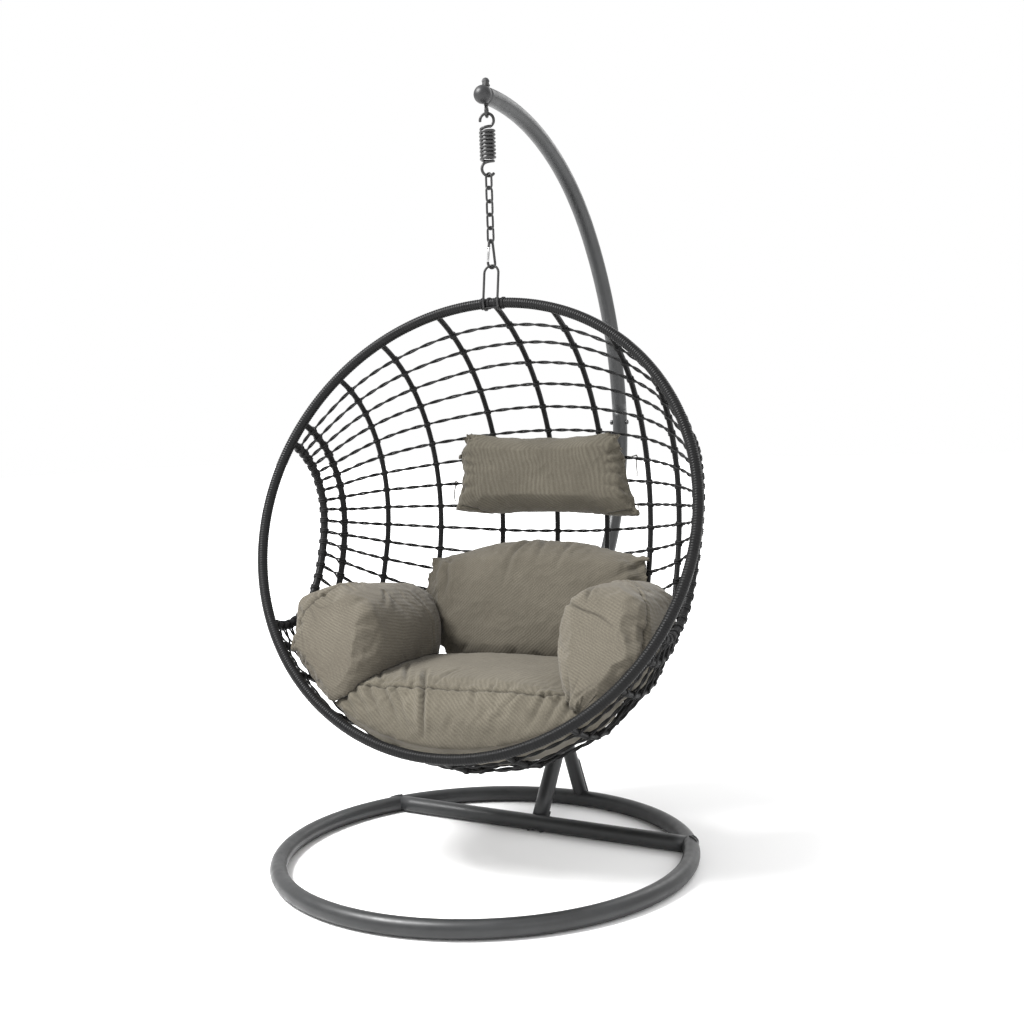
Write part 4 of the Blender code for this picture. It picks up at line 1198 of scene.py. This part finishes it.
# centre and half are the plain cushion's, full_centre and full_half the filled one's. flat is the axis of its
# thickness, and corners moves a corner, named by its sides in the other two axes. under is what it rests on.
Cushion = namedtuple(
    "Cushion",
    "centre half full_centre full_half tilt flat square pinch thin corners voxel rounds leaning under")
CUSHIONS = {
    "seat_cushion": Cushion(
        (0.0, -0.120, 0.385), (0.335, 0.270, 0.098), (0.0, -0.116, 0.377), (0.358, 0.282, 0.102),
        tilt=0.0, flat=2, square=0.75, pinch=(0.0, 0.0), thin=0.35,
        corners={(-1, -1): (0.004, 0.0, -0.006), (1, -1): (0.0, 0.0, -0.006)},
        voxel=0.0080, rounds=3, leaning=False, under=()),
    "left_bolster": Cushion(
        (-0.365, -0.100, 0.535), (0.122, 0.250, 0.143), (-0.357, -0.088, 0.527), (0.146, 0.270, 0.137),
        tilt=math.radians(-6), flat=0, square=0.85, pinch=(0.0, 0.0), thin=0.20,
        corners={(-1, -1): (0.0, 0.0, -0.006)},
        voxel=0.0070, rounds=3, leaning=False, under=("seat_cushion",)),
    "right_bolster": Cushion(
        (0.365, -0.100, 0.540), (0.122, 0.250, 0.143), (0.358, -0.100, 0.543), (0.124, 0.252, 0.144),
        tilt=math.radians(-6), flat=0, square=0.50, pinch=(0.0, 0.0), thin=0.30,
        corners={(-1, -1): (0.0, 0.0, -0.004)},
        voxel=0.0070, rounds=3, leaning=False, under=("seat_cushion",)),
    "back_cushion": Cushion(
        (0.0, 0.250, 0.580), (0.330, 0.090, 0.175), (0.0, 0.246, 0.568), (0.374, 0.102, 0.190),
        tilt=math.radians(-18), flat=1, square=1.0, pinch=(0.0, 0.0), thin=0.40,
        corners={(-1, 1): (-0.016, 0.0, -0.058), (1, 1): (0.006, 0.0, -0.044),
                 (-1, -1): (-0.030, -0.020, -0.020)},
        voxel=0.0075, rounds=3, leaning=True, under=("seat_cushion", "left_bolster", "right_bolster")),
    "head_pillow": Cushion(
        (0.004, 0.322, 0.935), (0.258, 0.046, 0.108), (0.004, 0.322, 0.935), (0.270, 0.048, 0.112),
        tilt=math.radians(-4), flat=1, square=1.0, pinch=(0.030, 0.04), thin=0.10,
        corners={(-1, 1): (-0.026, -0.030, 0.018), (1, 1): (0.022, -0.030, 0.010),
                 (1, -1): (0.014, 0.0, -0.016), (-1, -1): (0.010, 0.0, 0.004)},
        voxel=0.0045, rounds=8, leaning=True, under=()),
}

SEAMS = {
    # each seam's line, then what Cover.seam takes: gathers, their reach, depth and sides, and its own groove
    "seat_cushion": [([
        (-0.335, -0.215, 0.440), (-0.300, -0.280, 0.452), (-0.200, -0.300, 0.460), (-0.129, -0.303, 0.460),
        (-0.012, -0.303, 0.461), (0.113, -0.300, 0.460), (0.240, -0.291, 0.453), (0.315, -0.250, 0.445),
    ], 22, 0.075, 0.0036, (-1, 1, -1), 0.0028)],
    "left_bolster": [([
        (-0.330, -0.100, 0.683), (-0.352, -0.190, 0.680), (-0.382, -0.245, 0.660), (-0.428, -0.268, 0.610),
        (-0.436, -0.280, 0.560), (-0.415, -0.300, 0.500), (-0.375, -0.312, 0.455),
    ], 16, 0.085, 0.0050, (1, -1), 0.0034)],
    "right_bolster": [([
        (0.300, -0.060, 0.690), (0.380, -0.120, 0.690), (0.430, -0.190, 0.668), (0.452, -0.230, 0.620),
        (0.448, -0.262, 0.560), (0.420, -0.290, 0.500),
    ], 12, 0.045, 0.0034, (1, -1), 0.0034)],
    "back_cushion": [([
        (-0.318, 0.245, 0.660), (-0.245, 0.290, 0.710), (-0.130, 0.310, 0.742), (0.0, 0.315, 0.750),
        (0.130, 0.310, 0.742), (0.245, 0.290, 0.715), (0.318, 0.245, 0.675),
    ], 16, 0.070, 0.0035, (1, -1), 0.0022)],
    "head_pillow": [([
        (-0.262, 0.245, 1.040), (-0.130, 0.335, 1.025), (0.0, 0.365, 1.020), (0.130, 0.335, 1.025),
        (0.262, 0.245, 1.040),
    ], 12, 0.045, 0.0024, (1, -1), 0.0020), ([
        (-0.245, 0.245, 0.835), (-0.130, 0.320, 0.832), (0.0, 0.350, 0.832), (0.130, 0.320, 0.830),
        (0.270, 0.245, 0.815),
    ], 12, 0.040, 0.0022, (1, -1), 0.0020)],
}

CREASES = {
    # each crease's line, then what Cover.press takes: its depth, width, fading end, ridge and painted shade
    "seat_cushion": [
        ([(-0.118, -0.205, 0.490), (-0.094, -0.262, 0.478), (-0.074, -0.302, 0.457),
          (-0.062, -0.340, 0.412), (-0.058, -0.346, 0.352)], 0.0085, 0.0060, "both", 0.5, 0.95),
        ([(-0.200, -0.140, 0.487), (-0.160, -0.230, 0.484), (-0.122, -0.299, 0.461)],
         0.0055, 0.0055, "both", 0.5, 0.6),
        ([(-0.255, -0.190, 0.484), (-0.215, -0.260, 0.474), (-0.190, -0.292, 0.462)],
         0.0040, 0.0050, "both", 0.5, 0.5),
        ([(-0.030, -0.180, 0.490), (-0.045, -0.260, 0.478), (-0.052, -0.300, 0.460)],
         0.0035, 0.0055, "both", 0.5, 0.3),
    ],
    "left_bolster": [
        ([(-0.400, -0.262, 0.655), (-0.372, -0.268, 0.640), (-0.340, -0.255, 0.640)],
         0.0050, 0.0052, "end", 0.5, 0.5),
        ([(-0.262, -0.120, 0.672), (-0.252, -0.160, 0.640), (-0.262, -0.190, 0.610)],
         0.0035, 0.0060, "end", 0.5, 0.2),
        ([(-0.262, -0.010, 0.655), (-0.243, 0.010, 0.620), (-0.238, 0.020, 0.560), (-0.240, 0.010, 0.500)],
         0.0030, 0.0060, "both", 0.5, 0.3),
    ],
    "right_bolster": [
        ([(0.262, -0.215, 0.655), (0.300, -0.255, 0.652), (0.350, -0.272, 0.640), (0.385, -0.275, 0.615)],
         0.0062, 0.0058, "both", 0.5, 0.75),
        ([(0.322, -0.180, 0.690), (0.318, -0.225, 0.678), (0.312, -0.250, 0.655)],
         0.0045, 0.0050, "both", 0.5, 0.5),
    ],
    "back_cushion": [
        ([(-0.030, 0.290, 0.745), (-0.045, 0.235, 0.735), (-0.058, 0.190, 0.690), (-0.070, 0.160, 0.630)],
         0.0075, 0.0085, "end", 0.5, 0.45),
        ([(0.010, 0.280, 0.750), (0.020, 0.220, 0.725), (0.018, 0.185, 0.690)],
         0.0055, 0.0075, "end", 0.5, 0.4),
        ([(0.090, 0.260, 0.742), (0.085, 0.215, 0.718), (0.070, 0.175, 0.670)],
         0.0045, 0.0080, "end", 0.5, 0.3),
        ([(-0.250, 0.230, 0.690), (-0.235, 0.190, 0.650), (-0.240, 0.165, 0.600)],
         0.0050, 0.0090, "both", 0.5, 0.3),
        ([(0.300, 0.235, 0.700), (0.250, 0.200, 0.672), (0.200, 0.180, 0.650)],
         0.0045, 0.0085, "end", 0.5, 0.35),
    ],
    "head_pillow": [],
}


def add_fans():
    """The pleats that repeat: under the seat's front seam, in the right bolster's lower corner, and at the
    head pillow's ends."""
    for k, x in enumerate((-0.300, -0.262, -0.225, -0.180, -0.150)):
        line = [(x, -0.300, 0.452), (x + 0.028, -0.325, 0.425), (x + 0.062, -0.335, 0.385 - 0.008 * k)]
        CREASES["seat_cushion"].append((line, 0.0055 - 0.0005 * k, 0.0062, "end", 0.6, 0.45))
    for x in (0.225, 0.262, 0.295):
        line = [(x, -0.296, 0.452), (x - 0.012, -0.322, 0.420), (x - 0.030, -0.335, 0.390)]
        CREASES["seat_cushion"].append((line, 0.0045, 0.0060, "end", 0.6, 0.4))
    corner_x, corner_z = 0.300, 0.445
    fan = ((-0.045, 0.060, 0.0055), (-0.015, 0.085, 0.0060), (0.020, 0.080, 0.0050), (0.055, 0.060, 0.0045),
           (0.085, 0.035, 0.0040))
    for dx, dz, depth in fan:
        line = [(corner_x, -0.300, corner_z), (corner_x + dx * 0.5, -0.304, corner_z + dz * 0.5),
                (corner_x + dx, -0.290, corner_z + dz)]
        CREASES["right_bolster"].append((line, depth, 0.0058, "end", 0.6, 0.55))
    gathers = (
        (1.000, -0.020, 0.0038), (0.970, -0.012, 0.0045), (0.935, 0.004, 0.0032), (0.895, 0.012, 0.0040))
    for side, x in ((-1, -0.252), (1, 0.256)):
        for z, dz, depth in gathers:
            line = [(x, 0.265, z), (x - side * 0.035, 0.262, z + dz * 0.5), (x - side * 0.075, 0.268, z + dz)]
            CREASES["head_pillow"].append((line, depth, 0.0062, "end", 0.6, 0.3))


def build_cushions(bowl):
    """Each cushion rests against those made before it, as they press on each other in the basket."""
    add_fans()
    to_basket = np.array(SWING.inverted())
    to_world = np.array(SWING)
    trees = {}
    for node, form in CUSHIONS.items():
        piece = welded_copy(node)
        piece.name = node + "_cover"
        local = per_vertex(piece.data, "co") @ to_basket[:3, :3].T + to_basket[:3, 3]
        set_points(piece.data, within_bowl(bowl, warped(local, form), 0.016, form.leaning))
        smooth_remesh(piece, form.voxel, form.rounds)
        fill_by_cloth(piece, shrink=0.002, cap=0.014, pressure=4.0)
        subdivided(piece)
        cover = Cover(piece)
        cover.crumple(11.0, 0.0028)
        for seam in SEAMS[node]:
            cover.seam(*seam)
        for line, *shape in CREASES[node]:
            cover.press(cover.on_surface(line), *shape)
        trees[node] = cover.finish(bowl, [trees[k] for k in form.under], 0.0125, form.leaning, 0.0015)
        set_points(piece.data, per_vertex(piece.data, "co") @ to_world[:3, :3].T + to_world[:3, 3])
        piece.data.materials.clear()
        piece.data.materials.append(FABRICS[node])
        piece.data.shade_smooth()
        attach(piece, "basket")
        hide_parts(node)


TIE_RADIUS = 0.0015
TIE_X = 0.266
TIE_ROWS = (7, 8)
PILLOW_END_X = 0.2600
TIE_PATH = (
    (0.0000, -0.0085, 0.0052),
    (0.0003, -0.0005, 0.0058),
    (0.0006, 0.0056, 0.0010),
    (0.0010, 0.0030, -0.0052),
    (0.0014, -0.0045, -0.0070),
    (0.0024, -0.0090, -0.0180),
    (0.0040, -0.0100, -0.0340),
    (0.0030, -0.0080, -0.0500),
)


def strand_crossing(bowl, stations, i, t):
    """Where the design's strand at angle t passes behind rib i."""
    here = bowl.point(stations[i], t)
    left = bowl.point(stations[i - 1], t)
    right = bowl.point(stations[i + 1], t)
    normal, _ = bowl_normal(bowl, stations, i, t)
    turn = (here - left).normalized().dot((right - here).normalized())
    return here + normal * (CAD_RIB + CAD_STRAND + CAD_STRAND_GAP) / math.sqrt((1 + turn) / 2)


def build_ties(bowl, stations):
    """The head pillow's two cords, each round a strand of the basket and hanging from it."""
    middle = len(stations) // 2

    def plies(s, turn):
        return 0.00016 * np.cos(3 * turn - 2 * np.pi * s / 0.0042)

    for name, side, row in (("pillow_tie_right", 1, TIE_ROWS[0]), ("pillow_tie_left", -1, TIE_ROWS[1])):
        t = row_angle(row)
        near = strand_crossing(bowl, stations, middle + side, t)
        outer = strand_crossing(bowl, stations, middle + 2 * side, t)
        strand = near.lerp(outer, (TIE_X - abs(near.x)) / (abs(outer.x) - abs(near.x)))
        route = [Vector((side * PILLOW_END_X, strand.y - 0.020, strand.z + 0.003))]
        route += [strand + Vector((side * across, y, z)) for across, y, z in TIE_PATH]
        path = world(spline(route, 0.0009))
        tie = Sheaf().rod(path, TIE_RADIUS, 12, shape=plies, round_ends=False)
        piece = tie.piece(name + "_cord", TIE_CORD, "basket", "fabric", [name])


# ------------------------------------------------------------------ stage
def build_floor():
    """A plain pale floor that glows more further out, so that it meets the white studio unseen."""
    mesh = bpy.data.meshes.new("floor")
    mesh.from_pydata([(-30, -30, 0), (30, -30, 0), (30, 30, 0), (-30, 30, 0)], [], [(0, 1, 2, 3)])
    n = Nodes("floor")
    fade = n.add("ShaderNodeTexGradient", {"Vector": n.coords((0.30, 0.30, 0.30))}, gradient_type="SPHERICAL")
    outer = n.remap(fade.outputs["Fac"], 1.0, 0.0, 0.05, 0.55)
    n.plug(n.mix(outer, (0.0, 0.0, 0.0), (1.0, 1.0, 1.0)), n.shader.inputs["Emission Color"])
    n.shader.inputs["Emission Strength"].default_value = 1.0
    mesh.materials.append(n.finish((0.93, 0.93, 0.93), 0.9, None, 0.0, 0.1))
    floor = bpy.data.objects.new("floor", mesh)
    floor.location.z = min(0.0, cad_box[0].z) - 0.0005
    bpy.context.scene.collection.objects.link(floor)


LAMPS = (
    # name, place, size, power
    ("key", (-1.9, -2.3, 4.3), 1.6, 420.0),
    ("fill", (3.4, -2.2, 2.4), 2.6, 25.0),
    ("rim", (1.0, 3.6, 3.4), 2.4, 45.0),
)


def build_stage():
    scene = bpy.context.scene
    build_floor()
    scene.world = bpy.data.worlds.new("studio")
    scene.world.use_nodes = True
    background = scene.world.node_tree.nodes["Background"]
    background.inputs["Color"].default_value = (1.0, 1.0, 1.0, 1.0)
    background.inputs["Strength"].default_value = 1.0
    aim = Vector((0, 0, 0.9))
    for name, place, size, power in LAMPS:
        lamp = bpy.data.lights.new(name, "AREA")
        lamp.shape = "SQUARE"
        lamp.size = size
        lamp.energy = power
        made = bpy.data.objects.new(name, lamp)
        made.location = place
        made.rotation_euler = (aim - Vector(place)).to_track_quat("-Z", "Y").to_euler()
        scene.collection.objects.link(made)
    scene.view_settings.view_transform = "Standard"
    scene.view_settings.exposure = 0.0


def build_camera():
    """A camera 3.2 m from the ring's centre, 32 degrees to the right of the chair's front, about 1.07 m up."""
    scale, distance, height = 1.0076, 3.1553, 1.0599
    azimuth, pan, tilt, roll = (math.radians(a) for a in (32.3557, -1.6573, 3.7874, -1.8572))
    place = ORIGIN + scale * Vector((math.sin(azimuth) * distance, -math.cos(azimuth) * distance, height))
    look = azimuth + pan
    ahead = Vector((-math.sin(look) * math.cos(tilt), math.cos(look) * math.cos(tilt), -math.sin(tilt)))
    right = Vector((math.cos(look), math.sin(look), 0))
    up = right.cross(ahead)
    right, up = right * math.cos(roll) + up * math.sin(roll), up * math.cos(roll) - right * math.sin(roll)
    data = bpy.data.cameras.new("camera")
    data.sensor_width = 36.0
    data.lens = 46.11
    camera = bpy.data.objects.new("camera", data)
    bpy.context.scene.collection.objects.link(camera)
    camera.matrix_world = Matrix((
        (right.x, up.x, -ahead.x, place.x),
        (right.y, up.y, -ahead.y, place.y),
        (right.z, up.z, -ahead.z, place.z),
        (0, 0, 0, 1)))
    bpy.context.scene.camera = camera


build_camera()
build_stage()
tip = build_stand()
loop_top = build_hardware(tip)
bowl, stations = build_basket(loop_top)
build_cushions(bowl)
build_ties(bowl, stations)
for name, material in (("eye_washer", HARDWARE), ("eye_nut", HARDWARE), ("eye_cap", STOPPER),
                       ("mast_joint_bolt", HARDWARE), ("mast_joint_nut", HARDWARE)):
    node = frame["nodes"][name]
    node.data.materials.clear()
    node.data.materials.append(material)
